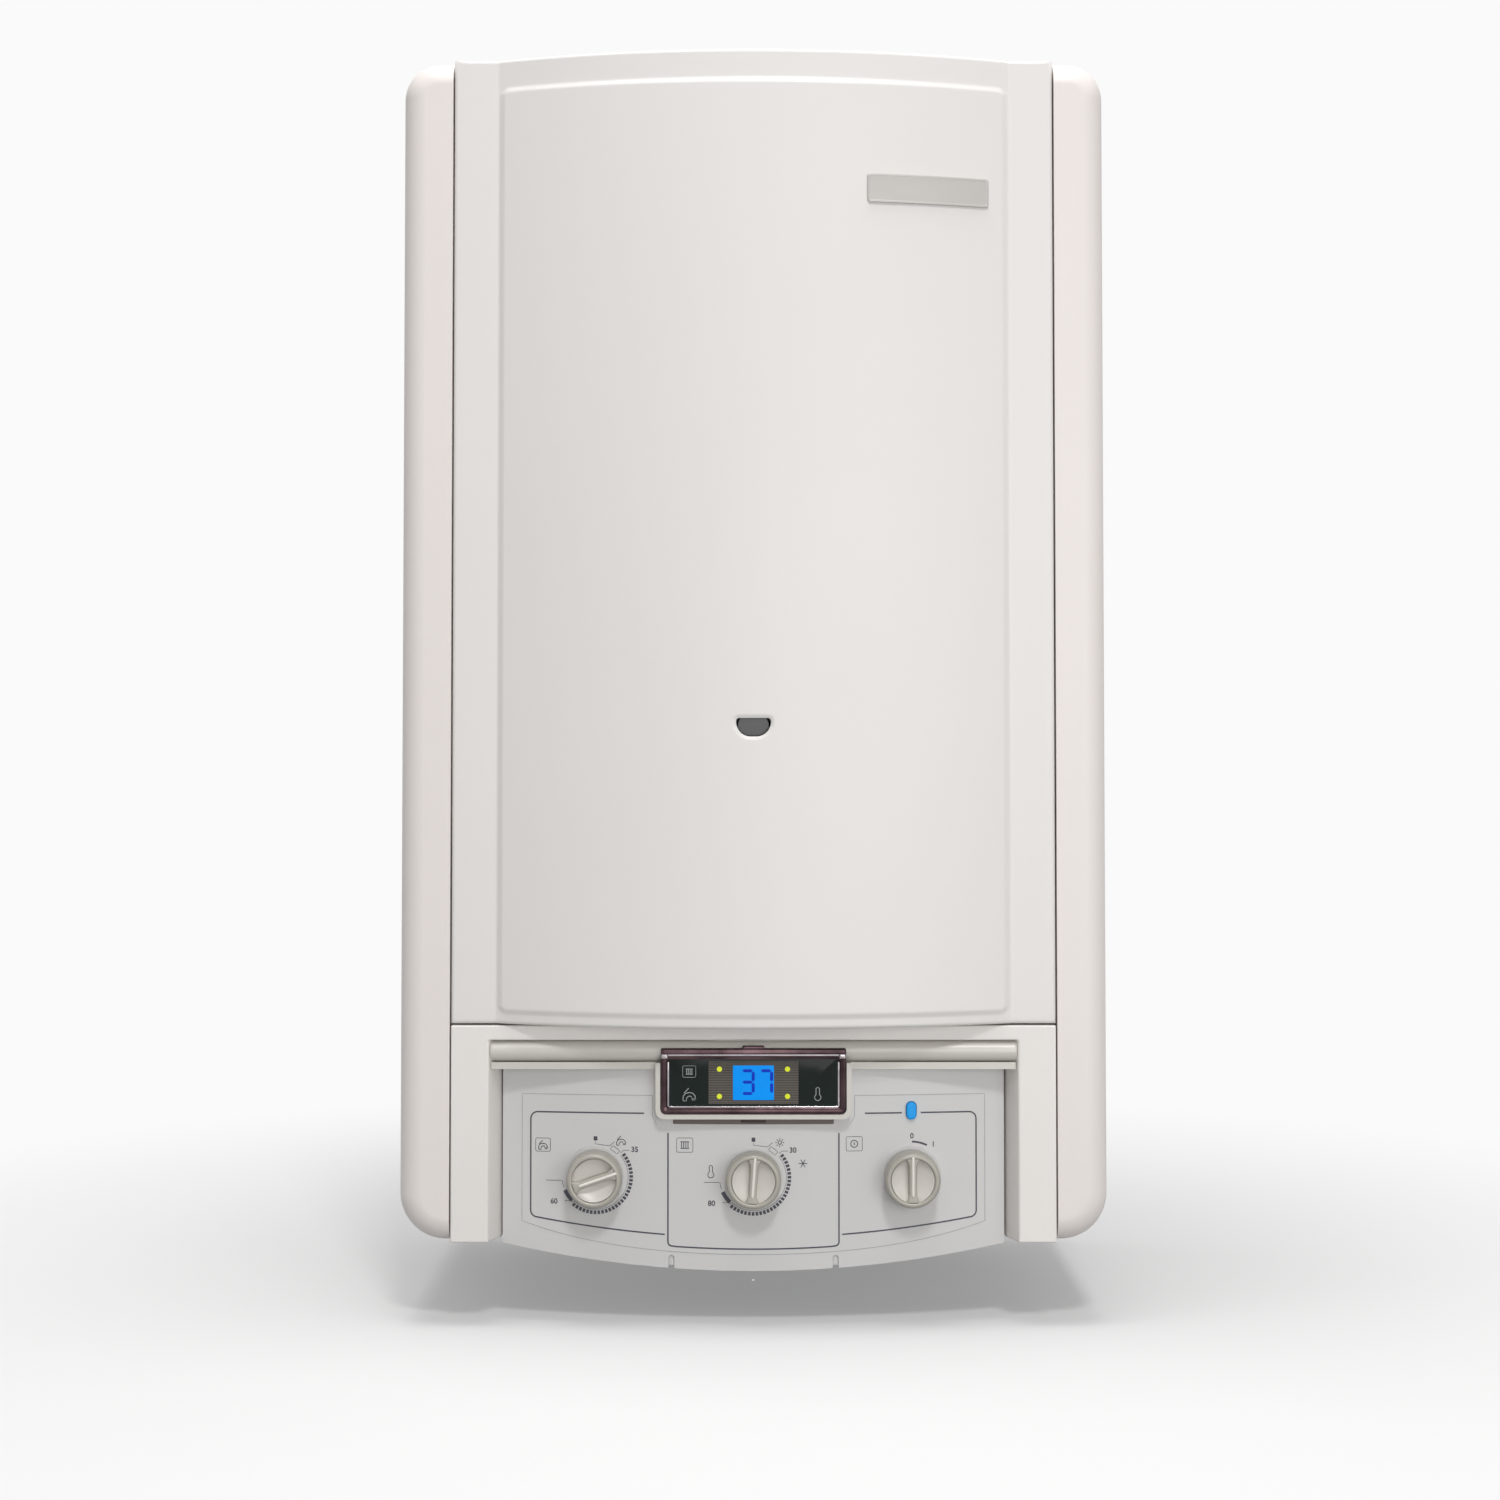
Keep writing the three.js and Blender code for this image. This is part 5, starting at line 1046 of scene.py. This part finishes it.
class BOILER_OT_display(BoilerOperator, bpy.types.Operator):
    """Chromed frame, glass, backlit screen with its digits, lamps and symbols"""

    bl_idname = "boiler.display"
    bl_label = "Display"

    def build(self, scene):
        display = scene.boiler_display
        self.bezel()
        self.glass()
        face = LENS_LOW.y
        middle = (LENS_LOW.z + LENS_HIGH.z) / 2 - 0.85 * MM

        def ground(x, z):
            return face

        def film(name, span, material, lift, radius=0.4 * MM):
            bm = bmesh.new()
            plate(bm, span, (radius, radius), [(0, -0.05 * MM), (0, lift * 0.8), (lift * 0.3, lift)], ground, 4)
            add_piece(name, bm, material, "control_panel", "display_glass")

        film("striped_film", (-25.9 * MM, 25.9 * MM, middle - 12.3 * MM, middle + 12.3 * MM), striped_mask(), 0.08 * MM)
        screen = backlit("backlit_screen", display.screen_colour)
        film("screen", (-11.8 * MM, 11.8 * MM, middle - 9.9 * MM, middle + 9.9 * MM), screen, 0.2 * MM)
        digits = bmesh.new()
        tens, ones = divmod(display.degrees, 10)
        self.digit(digits, tens, -3.4 * MM, middle + 0.4 * MM, display.digit_height, ground)
        self.digit(digits, ones, 7.2 * MM, middle + 0.4 * MM, display.digit_height, ground)
        blue = backlit("lit_digits", display.digit_colour, 0.75)
        add_piece("screen_digits", digits, blue, "control_panel", "display_glass")
        yellow = backlit("lit_lamps", display.lamp_colour, 0.8)
        lamps = bmesh.new()
        for x in (-19.6 * MM, 19.6 * MM):
            for z in (middle + 7.8 * MM, middle - 7.8 * MM):
                span = (x - 1.5 * MM, x + 1.5 * MM, z - 1.5 * MM, z + 1.5 * MM)
                dome = [(0, -0.05 * MM), (0, 0.15 * MM), (0.3 * MM, 0.45 * MM), (0.8 * MM, 0.65 * MM)]
                plate(lamps, span, (1.49 * MM, 1.49 * MM), dome, ground, 1)
        add_piece("small_lamps", lamps, yellow, "control_panel", "display_glass")
        marks = bmesh.new()
        stroke = 0.45 * MM
        symbol(marks, "radiator", -37.0 * MM, middle + 6.4 * MM, 6.6 * MM, stroke, ground, boxed=True)
        symbol(marks, "tap", -37.0 * MM, middle - 6.6 * MM, 7.6 * MM, stroke, ground)
        symbol(marks, "thermometer", 37.0 * MM, middle - 6.4 * MM, 7.6 * MM, stroke, ground)
        pale = screen_ink("pale_screen_ink", display.symbol_colour)
        add_piece("glass_symbols", marks, pale, "control_panel", "display_glass")

    def bezel(self):
        """Plated frame, taller above the glass, whose dark plum chrome is a painted reflection, with a bar, two clips
        and a bead on three sides in a lighter chrome that paints highlights.
        """
        outside = (BEZEL_LOW.x, BEZEL_HIGH.x, BEZEL_LOW.z, BEZEL_HIGH.z - 1.5 * MM)
        inside = (-49.6 * MM, 49.6 * MM, BEZEL_LOW.z + 4.0 * MM, BEZEL_HIGH.z - 8.9 * MM)
        face = BEZEL_LOW.y + 0.1 * MM

        def ring(share, depth):
            span = [near + (far - near) * share for near, far in zip(outside, inside)]
            radius = (2.4 - 1.8 * share) * MM
            return [(x, face + depth, z) for x, z in rounded_ring(span, (radius, radius * 0.4), 0, 8, 8)]

        section = [
            (1.0, 1.3), (1.0, 4.5), (0, 4.5), (0, 0.9), (0.04, 0.35), (0.14, 0.05), (0.45, 0.0),
            (0.8, 0.25), (0.95, 0.8),
        ]
        bm = bmesh.new()
        loft(bm, [ring(share, depth * MM) for share, depth in section], wrap=True)
        tab = (-6.3 * MM, 6.3 * MM, outside[3] - 0.9 * MM, BEZEL_HIGH.z)
        plate(bm, tab, (0.3 * MM, 0.8 * MM), [(0, -4 * MM), (0, 0.2 * MM), (0.4 * MM, 0.6 * MM)],
              lambda x, z: face + 0.6 * MM, 4)
        add_piece("chromed_frame", bm, smoked_chrome(), "control_panel", "chrome",
                  ("display_bezel",))
        # The bead, clips and bar below are drawn in a lighter copy of the chrome: painted highlights.
        bm = bmesh.new()
        low, high = inside[2], inside[3] - 0.5 * MM
        bead = [
            [(side * 49.1 * MM, high), (side * 49.1 * MM, low + 0.8 * MM), (side * 48.3 * MM, low + 0.1 * MM)]
            for side in (-1, 1)
        ]
        path = bead[0] + bead[1][::-1]
        ink_line(bm, path, 0.95 * MM, lambda x, z: face + 0.8 * MM, lift=0.45 * MM)
        for side in (-1, 1):
            x = side * 51.3 * MM
            clip = (x - 1.8 * MM, x + 1.8 * MM, outside[3] - 5.9 * MM, outside[3] - 3.2 * MM)
            plate(bm, clip, (0.4 * MM, 0.4 * MM), [(0, -0.5 * MM), (0, 0.15 * MM), (0.4 * MM, 0.35 * MM)],
                  lambda x, z: face, 1)
        bar = (-49.4 * MM, 49.4 * MM, outside[3] - 4.5 * MM, outside[3] - 3.1 * MM)
        plate(bm, bar, (0.5 * MM, 0.5 * MM), [(0, -0.5 * MM), (0, 0.1 * MM), (0.5 * MM, 0.3 * MM)],
              lambda x, z: face, 8)
        add_piece("chrome_highlight_lines", bm, bright_chrome(), "control_panel", "chrome")

    def glass(self):
        """Glass plate with a softened edge."""
        span = (LENS_LOW.x, LENS_HIGH.x, LENS_LOW.z, LENS_HIGH.z)
        back = LENS_HIGH.y
        deep = LENS_HIGH.y - LENS_LOW.y
        bm = bmesh.new()
        plate(bm, span, (1 * MM, 1 * MM), [(0, 0), (0, deep - 0.3 * MM), (0.3 * MM, deep)], lambda x, z: back, 8)
        add_piece("display_glass", bm, smoked_acrylic(), "control_panel",
                  "display_glass", ("display_lens",))

    def digit(self, bm, value, x, z, height, ground):
        """One seven-segment digit with mitred segments."""
        on = {
            0: "abcdef", 1: "bc", 2: "abged", 3: "abgcd", 4: "fgbc",
            5: "afgcd", 6: "afgedc", 7: "abc", 8: "abcdefg", 9: "abcdfg",
        }[value]
        wide, thick, gap = height * 0.5, height * 0.14, height * 0.02
        left, right, low, high = x - wide / 2, x + wide / 2, z - height / 2, z + height / 2
        lines = {
            "a": ((left, high), (right, high)), "b": ((right, high), (right, z)),
            "c": ((right, z), (right, low)), "d": ((left, low), (right, low)),
            "e": ((left, z), (left, low)), "f": ((left, high), (left, z)), "g": ((left, z), (right, z)),
        }
        for segment in on:
            (x0, z0), (x1, z1) = lines[segment]
            along = Vector((x1 - x0, z1 - z0)).normalized()
            side = Vector((-along.y, along.x)) * thick / 2
            start, end = Vector((x0, z0)) + along * gap, Vector((x1, z1)) - along * gap
            tip = along * thick / 2
            outline = [start, start + tip + side, end - tip + side, end, end - tip - side, start + tip - side]
            rings = [[(p.x, ground(p.x, p.y) - lift, p.y) for p in outline] for lift in (0.1 * MM, 0.26 * MM)]
            loft(bm, rings, caps=True)


class BOILER_OT_dials(BoilerOperator, bpy.types.Operator):
    """Three round knobs, each with a ring, a grip bar, two scoops and a pointer line"""

    bl_idname = "boiler.dials"
    bl_label = "Knobs"

    def build(self, scene):
        controls = scene.boiler_controls
        ring = silver_painted_abs("silver_painted_abs_knob", controls.ring_colour, 0.34)
        # The scoops take a lighter copy of the ring's silver paint: painted light.
        scoop = silver_painted_abs("silver_painted_abs_scoop", controls.scoop_lit_colour, 0.4)
        line = moulded_abs("moulded_abs_pointer", controls.pointer_colour, 0.35)
        knobs = [
            ("hot_water_knob", -KNOB_PITCH, controls.hot_water_angle),
            ("heating_knob", 0.0, controls.heating_angle),
            ("power_knob", KNOB_PITCH, controls.power_angle),
        ]
        for name, x, angle in knobs:
            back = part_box(name)[1].y
            turn = self.turner(x, back, angle)
            add_piece(name + "_ring", self.ring_and_bar(controls, turn), ring, name, "satin_silver", (name,))
            add_piece(name + "_scoops", self.scoops(controls, turn), scoop, name, "satin_silver")
            add_piece(name + "_pointer", self.pointer(turn), line, name, "satin_silver")

    def turner(self, x, back, angle):
        """From knob coordinates (across, along the pointer, height) to the boiler's."""
        cosine, sine = math.cos(angle), math.sin(angle)

        def turn(u, v, height):
            return (x + u * cosine + v * sine, back - height, KNOB_LEVEL - u * sine + v * cosine)

        return turn

    def bar_half(self, controls, v):
        """Half the grip bar's width, wider where it runs into the ring."""
        return controls.bar / 2 + 1.5 * MM * smooth((abs(v) - 8 * MM) / (4.6 * MM))

    def ring_and_bar(self, controls, turn):
        """Turned cup with a soft rim, and the grip bar across it."""
        radius = KNOB_RADIUS
        inner = radius - controls.ring
        rim = [
            (0, 8.4), (3.3, 8.4), (3.3, 0.4), (14.6, 0.4), (16, 1.2), (16, 11.6), (15.85, 12.9), (15.4, 14.0),
            (14.7, 14.7), (13.9, 14.95), (13.2, 14.8), (12.75, 14.3), (12.6, 13.6), (12.6, 8.8), (0, 8.8),
        ]
        scale = inner / (12.6 * MM)
        bm = bmesh.new()
        turns = [2 * math.pi * i / 72 for i in range(72)]
        rings = [
            [turn(r * MM * scale * math.cos(a), r * MM * scale * math.sin(a), h * MM) for r, h in rim]
            for a in turns
        ]
        loft(bm, rings, wrap=True)
        reach = inner + 0.1 * MM
        stations = [-reach + 2 * reach * i / 40 for i in range(41)]
        sections = []
        for v in stations:
            half = self.bar_half(controls, v)
            outline = [
                (-half, 8.7), (-half, 13.2), (-half + 0.3 * MM, 14.0), (-half + 0.9 * MM, 14.5),
                (half - 0.9 * MM, 14.5), (half - 0.3 * MM, 14.0), (half, 13.2), (half, 8.7),
            ]
            sections.append([turn(u, v, h * MM) for u, h in outline])
        loft(bm, sections, caps=True)
        return bm

    def scoops(self, controls, turn):
        """Finger scoops: deep beside the bar, rising gently to the ring."""
        inner = KNOB_RADIUS - controls.ring + 0.05 * MM
        bm = bmesh.new()
        shares = [0, 0.05, 0.12, 0.2, 0.3, 0.42, 0.55, 0.68, 0.8, 0.9, 1.0]
        for side in (-1, 1):
            sections = []
            for i in range(33):
                v = (inner - 0.35 * MM) * math.sin(math.pi * (i / 32 - 0.5))
                start = self.bar_half(controls, v) - 0.3 * MM
                width = max(math.sqrt(inner * inner - v * v) - start, 0.02 * MM)
                fade = math.sqrt(max(1 - (v / inner) ** 2, 0.0)) ** 0.8
                section = []
                for share in shares:
                    deep = 4.6 * MM * (1 - share ** 1.6) ** 0.8 * fade
                    section.append(turn(side * (start + width * share), v, 13.9 * MM - deep))
                section.append(turn(side * (start + width), v, 8.7 * MM))
                section.append(turn(side * start, v, 8.7 * MM))
                sections.append(section)
            loft(bm, sections, caps=True)
        return bm

    def pointer(self, turn):
        """Raised line from the rim nearly across the bar, with round ends."""
        low, high, half = -9.3 * MM, 14.1 * MM, 0.78 * MM
        sections = []
        for i in range(31):
            v = low + (high - low) * i / 30
            end = min(v - low, high - v)
            width = half * math.sqrt(max(1 - (1 - min(end / half, 1.0)) ** 2, 0.02))
            arch = [(math.cos(math.pi * k / 8), math.sin(math.pi * k / 8)) for k in range(9)]
            section = [turn(width * c, v, (14.55 + 0.75 * s * width / half) * MM) for c, s in arch]
            section += [turn(-width, v, 14.2 * MM), turn(width, v, 14.2 * MM)]
            sections.append(section)
        bm = bmesh.new()
        loft(bm, sections, caps=True)
        return bm


class BOILER_OT_printing(BoilerOperator, bpy.types.Operator):
    """Thin printed lines, dial scales, plain numbers and symbols on the control plate"""

    bl_idname = "boiler.printing"
    bl_label = "Printing"

    def build(self, scene):
        controls = scene.boiler_controls
        ink = screen_ink("grey_screen_ink", controls.ink_colour)
        faint = screen_ink("faint_die_cut", linear("9C9C9E"))
        bm = bmesh.new()
        self.cards(bm)
        self.scale(bm, -KNOB_PITCH, "35", "60")
        self.scale(bm, 0.0, "30", "80")
        self.power_scale(bm)
        self.symbols(bm)
        add_piece("printed_lines", bm, ink, "control_panel", "black_plastic")
        bm = bmesh.new()
        self.label_edge(bm)
        add_piece("label_edge", bm, faint, "control_panel", "panel_plastic")

    def chin(self, x, drop):
        """Height at x of the arc that the plate's lower edge follows, raised by drop."""
        return PLATE_LOW.z + 14 * MM * (x / PLATE_HALF) ** 2 + drop

    def cards(self, bm):
        """Outlines of the three fields round the knobs."""
        wide = 0.85 * MM
        low = 12.6 * MM
        for side in (-1, 1):
            outer, inner = side * 129.4 * MM, side * 51.2 * MM
            top = -269.8 * MM
            bottom = self.chin(outer, low + 5.8 * MM)
            turns = [math.pi / 2 * i / 6 for i in range(7)]
            corner = [(outer - side * 4 * MM * (1 - math.cos(a)), top - 4 * MM * (1 - math.sin(a))) for a in turns]
            foot = [(x, bottom + top - z) for x, z in corner]
            sweep = [(outer - side * 4 * MM + (inner - outer + side * 4 * MM) * i / 12) for i in range(1, 13)]
            arcs = [(x, bottom + self.chin(x, 0) - self.chin(outer - side * 4 * MM, 0)) for x in sweep]
            start = -63.3 * MM if side < 0 else 97 * MM
            ink_line(bm, [(start, top)] + corner[::-1] + foot + arcs, wide)
        ink_line(bm, [(64.5 * MM, top), (86 * MM, top)], wide)
        half, top, round_off = 49.4 * MM, -281 * MM, 2.4 * MM
        foot = self.chin(half, low) + round_off
        turns = [math.pi / 2 * i / 5 for i in range(6)]
        left = [(-half + round_off * (1 - math.cos(a)), foot - round_off * math.sin(a)) for a in turns]
        right = [(-x, z) for x, z in left[::-1]]
        arch = [(x, self.chin(x, low)) for x in ((half - 5 * MM) * i / 6 for i in range(-6, 7))]
        ink_line(bm, [(-half, top), *left, *arch, *right, (half, top)], wide)

    def label_edge(self, bm):
        """Die-cut edge of the label that covers the plate, broken by the display."""
        for side in (-1, 1):
            outer, inner, top = side * 134.5 * MM, side * 58.5 * MM, -259.5 * MM
            foot = self.chin(outer, 15.2 * MM)
            sweep = [(x, self.chin(x, 9.5 * MM) + (foot - self.chin(outer, 9.5 * MM)) * (x / outer) ** 4)
                     for x in (outer * (1 - i / 20) for i in range(21))]
            corner = [(inner, top), (outer, top)]
            drop = [(inner, top), (inner, top - 12 * MM), (inner - side * 2.5 * MM, top - 16.5 * MM)]
            ink_line(bm, corner + sweep, 0.3 * MM)
            ink_line(bm, drop, 0.3 * MM)

    def scale(self, bm, x, least, most):
        """Row of dashes, end bar, start box, thin ring sector and end numbers of a temperature dial."""
        z = KNOB_LEVEL
        for i in range(28):
            middle = 53 + (217 - 53) * i / 27
            ink_line(bm, circle(x, z, 20.8 * MM, middle - 2.1, middle + 2.1, 2), 2.1 * MM)
        ink_line(bm, circle(x, z, 19.6 * MM, 224, 245, 6), 2.3 * MM)
        ink_line(bm, circle(x, z, 19.0 * MM, 50, 222, 40), 0.2 * MM)
        square = (x - 1.1 * MM, x + 1.1 * MM, z + 20.6 * MM, z + 23.0 * MM)
        plate(bm, square, (0.3 * MM, 0.3 * MM), [(0, -0.07 * MM), (0, 0.07 * MM)], plate_face, 1)
        lead = [(x, z + 20 * MM), (x, z + 18.6 * MM), (x + 8 * MM, z + 17.6 * MM), (x + 11 * MM, z + 20 * MM)]
        ink_line(bm, lead, FINE_LINE)
        box = circle(x, z, 20.4 * MM, 29, 44, 4) + circle(x, z, 17.9 * MM, 44, 29, 4)
        ink_line(bm, box, FINE_LINE, closed=True)
        start = circle(x, z, 20.2 * MM, 47, 47, 1)[0]
        ink_line(bm, [start, (start[0] + 1.6 * MM, start[1] + 1.4 * MM), (start[0] + 5 * MM, start[1] + 1.4 * MM)],
                 FINE_LINE)
        ink_text(bm, least, x + 22.8 * MM, z + 15.6 * MM, 3.0 * MM)
        ink_text(bm, most, x - 24.2 * MM, z - 14.9 * MM, 3.0 * MM)
        stop = circle(x, z, 20 * MM, 262, 262, 1)[0]
        ink_line(bm, [stop, (stop[0] - 9 * MM, stop[1])], FINE_LINE)
        ink_line(bm, circle(x, z, 19.6 * MM, 250, 262, 3), FINE_LINE)
        tail = circle(x, z, 19.9 * MM, 221, 221, 1)[0]
        ink_line(bm, [tail, (tail[0] - 1.5 * MM, tail[1] + 0.6 * MM), (tail[0] - 5 * MM, tail[1] + 0.6 * MM)],
                 FINE_LINE)

    def power_scale(self, bm):
        """Short bar between off and on, marked with plain numbers."""
        x, z = KNOB_PITCH, KNOB_LEVEL
        ink_line(bm, circle(x, z, 19.9 * MM, 1, 27, 8), 1.1 * MM)
        ink_text(bm, "0", x + 0.3 * MM, z + 23.1 * MM, 3.0 * MM)
        ink_text(bm, "1", x + 12.8 * MM, z + 18.2 * MM, 3.0 * MM)

    def symbols(self, bm):
        """Boxed symbols at the corners of the fields, and small ones on the scales."""
        stroke = 0.5 * MM
        symbol(bm, "tap", -122.2 * MM, -288.8 * MM, 7.6 * MM, stroke, boxed=True)
        symbol(bm, "radiator", -39.7 * MM, -287.9 * MM, 8.2 * MM, stroke, boxed=True)
        symbol(bm, "power", 58.3 * MM, -287.3 * MM, 8.2 * MM, stroke, boxed=True)
        fine = 0.44 * MM
        symbol(bm, "sun", 15.2 * MM, -286.3 * MM, 5.6 * MM, fine)
        symbol(bm, "snowflake", 28.6 * MM, -298.4 * MM, 5.6 * MM, fine)
        symbol(bm, "thermometer", -24.6 * MM, -303.0 * MM, 7.2 * MM, fine)
        symbol(bm, "tap", -76.6 * MM, -285.6 * MM, 5.6 * MM, fine)


class BOILER_OT_button(BoilerOperator, bpy.types.Operator):
    """Blue reset button, a domed capsule"""

    bl_idname = "boiler.button"
    bl_label = "Reset button"

    def build(self, scene):
        low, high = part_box("reset_button")
        collar = 1.2 * MM
        span = (low.x + collar, high.x - collar, low.z + collar, high.z - collar)
        radius = (span[1] - span[0]) / 2 - 0.01 * MM
        profile = [
            (0, -6 * MM), (0, 1.7 * MM), (0.25 * MM, 2.2 * MM), (0.8 * MM, 2.5 * MM), (1.8 * MM, 2.6 * MM),
        ]
        bm = bmesh.new()
        plate(bm, span, (radius, radius), profile, plate_face, 3)
        blue = moulded_nylon("moulded_blue_cap", scene.boiler_controls.button_colour)
        add_piece("reset_cap", bm, blue, "reset_button", "blue_plastic", ("reset_button",))


class BOILER_OT_connections(BoilerOperator, bpy.types.Operator):
    """Flue collar on top, and five threaded pipe tails below"""

    bl_idname = "boiler.connections"
    bl_label = "Connections"

    def build(self, scene):
        self.collar()
        for word in ("heating_flow", "hot_water", "gas", "cold_water", "heating_return"):
            self.tail(word + "_tail")

    def collar(self):
        """Turned spigot with a rolled rim and a flange."""
        low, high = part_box("flue_collar")
        foot = high.z - 25 * MM + 0.3 * MM
        profile = [
            (27, low.z), (30, low.z), (30, foot), (50, foot), (50, foot + 3 * MM), (33, foot + 3 * MM),
            (32, foot + 5 * MM), (32, high.z - 5 * MM), (33, high.z - 3 * MM), (34, high.z - 2 * MM),
            (34, high.z), (27, high.z),
        ]
        bm = lathe([(radius * MM, height) for radius, height in profile], 0, centre("flue_collar")[1], 72)
        add_piece("turned_collar", bm, cast_aluminium(), "root", "cast_aluminium", ("flue_collar",), 0.5 * MM)

    def tail(self, node):
        """Bored pipe end with a 1.8 mm thread below its shoulder."""
        low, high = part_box(node)
        outer, bore, pitch = 10 * MM, 6.5 * MM, 1.8 * MM
        thread = []
        for i in range(8):
            foot = low.z + 0.8 * MM + pitch * i
            thread += [(outer - 0.9 * MM, foot), (outer, foot + 0.7 * MM), (outer, foot + 1.0 * MM)]
        shoulder = [(outer - 0.9 * MM, low.z + 16 * MM), (outer - 1.5 * MM, low.z + 18 * MM)]
        mouth = [(bore, low.z), (outer - 1.2 * MM, low.z)]
        profile = [*mouth, *thread, *shoulder, (outer - 1.5 * MM, high.z), (bore, high.z)]
        bm = lathe(profile, *centre(node)[:2], 40)
        add_piece(node + "_threaded", bm, drawn_copper(), "root", "copper", (node,))


class BOILER_OT_working_parts(BoilerOperator, bpy.types.Operator):
    """Burner, heat exchanger, fan, pump, valves and what carries them"""

    bl_idname = "boiler.working_parts"
    bl_label = "Working parts"

    def build(self, scene):
        black = moulded_nylon("moulded_black_nylon", linear("26272A"))
        red = moulded_nylon("moulded_red_nylon", linear("B8281E"))
        grey = moulded_abs("moulded_abs_box", linear("8A8C8E"), 0.6)
        pieces = {
            galvanised_steel: ["chamber_housing", "chamber_cover", "combustion_chamber", "flue_hood", "fan_impeller"],
            brushed_stainless: ["burner", "plate_heat_exchanger"],
            drawn_copper: ["heat_exchanger", "gas_pipe", "flow_pipe", "return_pipe"],
            cast_aluminium: ["gas_manifold", "fan_housing", "gas_valve", "pump_housing"],
            cast_brass: ["flow_manifold", "return_manifold", "relief_valve"],
            vessel_enamel: ["expansion_vessel"],
            circuit_board: ["control_board"],
            heatproof_glass: ["sight_glass"],
        }
        for make, nodes in pieces.items():
            for node in nodes:
                refine(node, make(), 0.3 * MM)
        moulded = {
            black: [
                "fan_motor", "diverter_motor", "pump_motor", "display_module", "filling_tap_handle",
                "hot_water_switch", "heating_switch", "power_switch",
            ],
            grey: ["control_box", "air_pressure_switch"],
            red: ["relief_knob"],
        }
        for material, nodes in moulded.items():
            for node in nodes:
                refine(node, material, 0.4 * MM)


class BOILER_PT_sidebar(bpy.types.Panel):
    """Settings and steps of the boiler, in the order they are built"""

    bl_idname = "BOILER_PT_sidebar"
    bl_label = "Combi boiler"
    bl_space_type = "VIEW_3D"
    bl_region_type = "UI"
    bl_category = "Boiler"

    def draw(self, context):
        for name, kind in SETTINGS.items():
            box = self.layout.box()
            for setting in kind.__annotations__:
                box.prop(getattr(context.scene, name), setting)
        for step in STEPS:
            self.layout.operator(step.bl_idname)


SETTINGS = {
    "boiler_casing": CasingSettings,
    "boiler_controls": ControlSettings,
    "boiler_display": DisplaySettings,
    "boiler_stage": StageSettings,
}
STEPS = (
    BOILER_OT_stage,
    BOILER_OT_casing,
    BOILER_OT_door,
    BOILER_OT_badge,
    BOILER_OT_fascia,
    BOILER_OT_display,
    BOILER_OT_dials,
    BOILER_OT_printing,
    BOILER_OT_button,
    BOILER_OT_connections,
    BOILER_OT_working_parts,
)


def register():
    """Register the settings, the steps and the panel."""
    for kind in (*SETTINGS.values(), *STEPS, BOILER_PT_sidebar):
        bpy.utils.register_class(kind)
    for name, kind in SETTINGS.items():
        setattr(bpy.types.Scene, name, PointerProperty(type=kind))


def unregister():
    """Take away what register added."""
    for name in SETTINGS:
        delattr(bpy.types.Scene, name)
    for kind in reversed((*SETTINGS.values(), *STEPS, BOILER_PT_sidebar)):
        bpy.utils.unregister_class(kind)


def main():
    """Register the steps and build the boiler."""
    register()
    for step in STEPS:
        space, name = step.bl_idname.split(".")
        getattr(getattr(bpy.ops, space), name)()


if __name__ == "__main__":
    main()
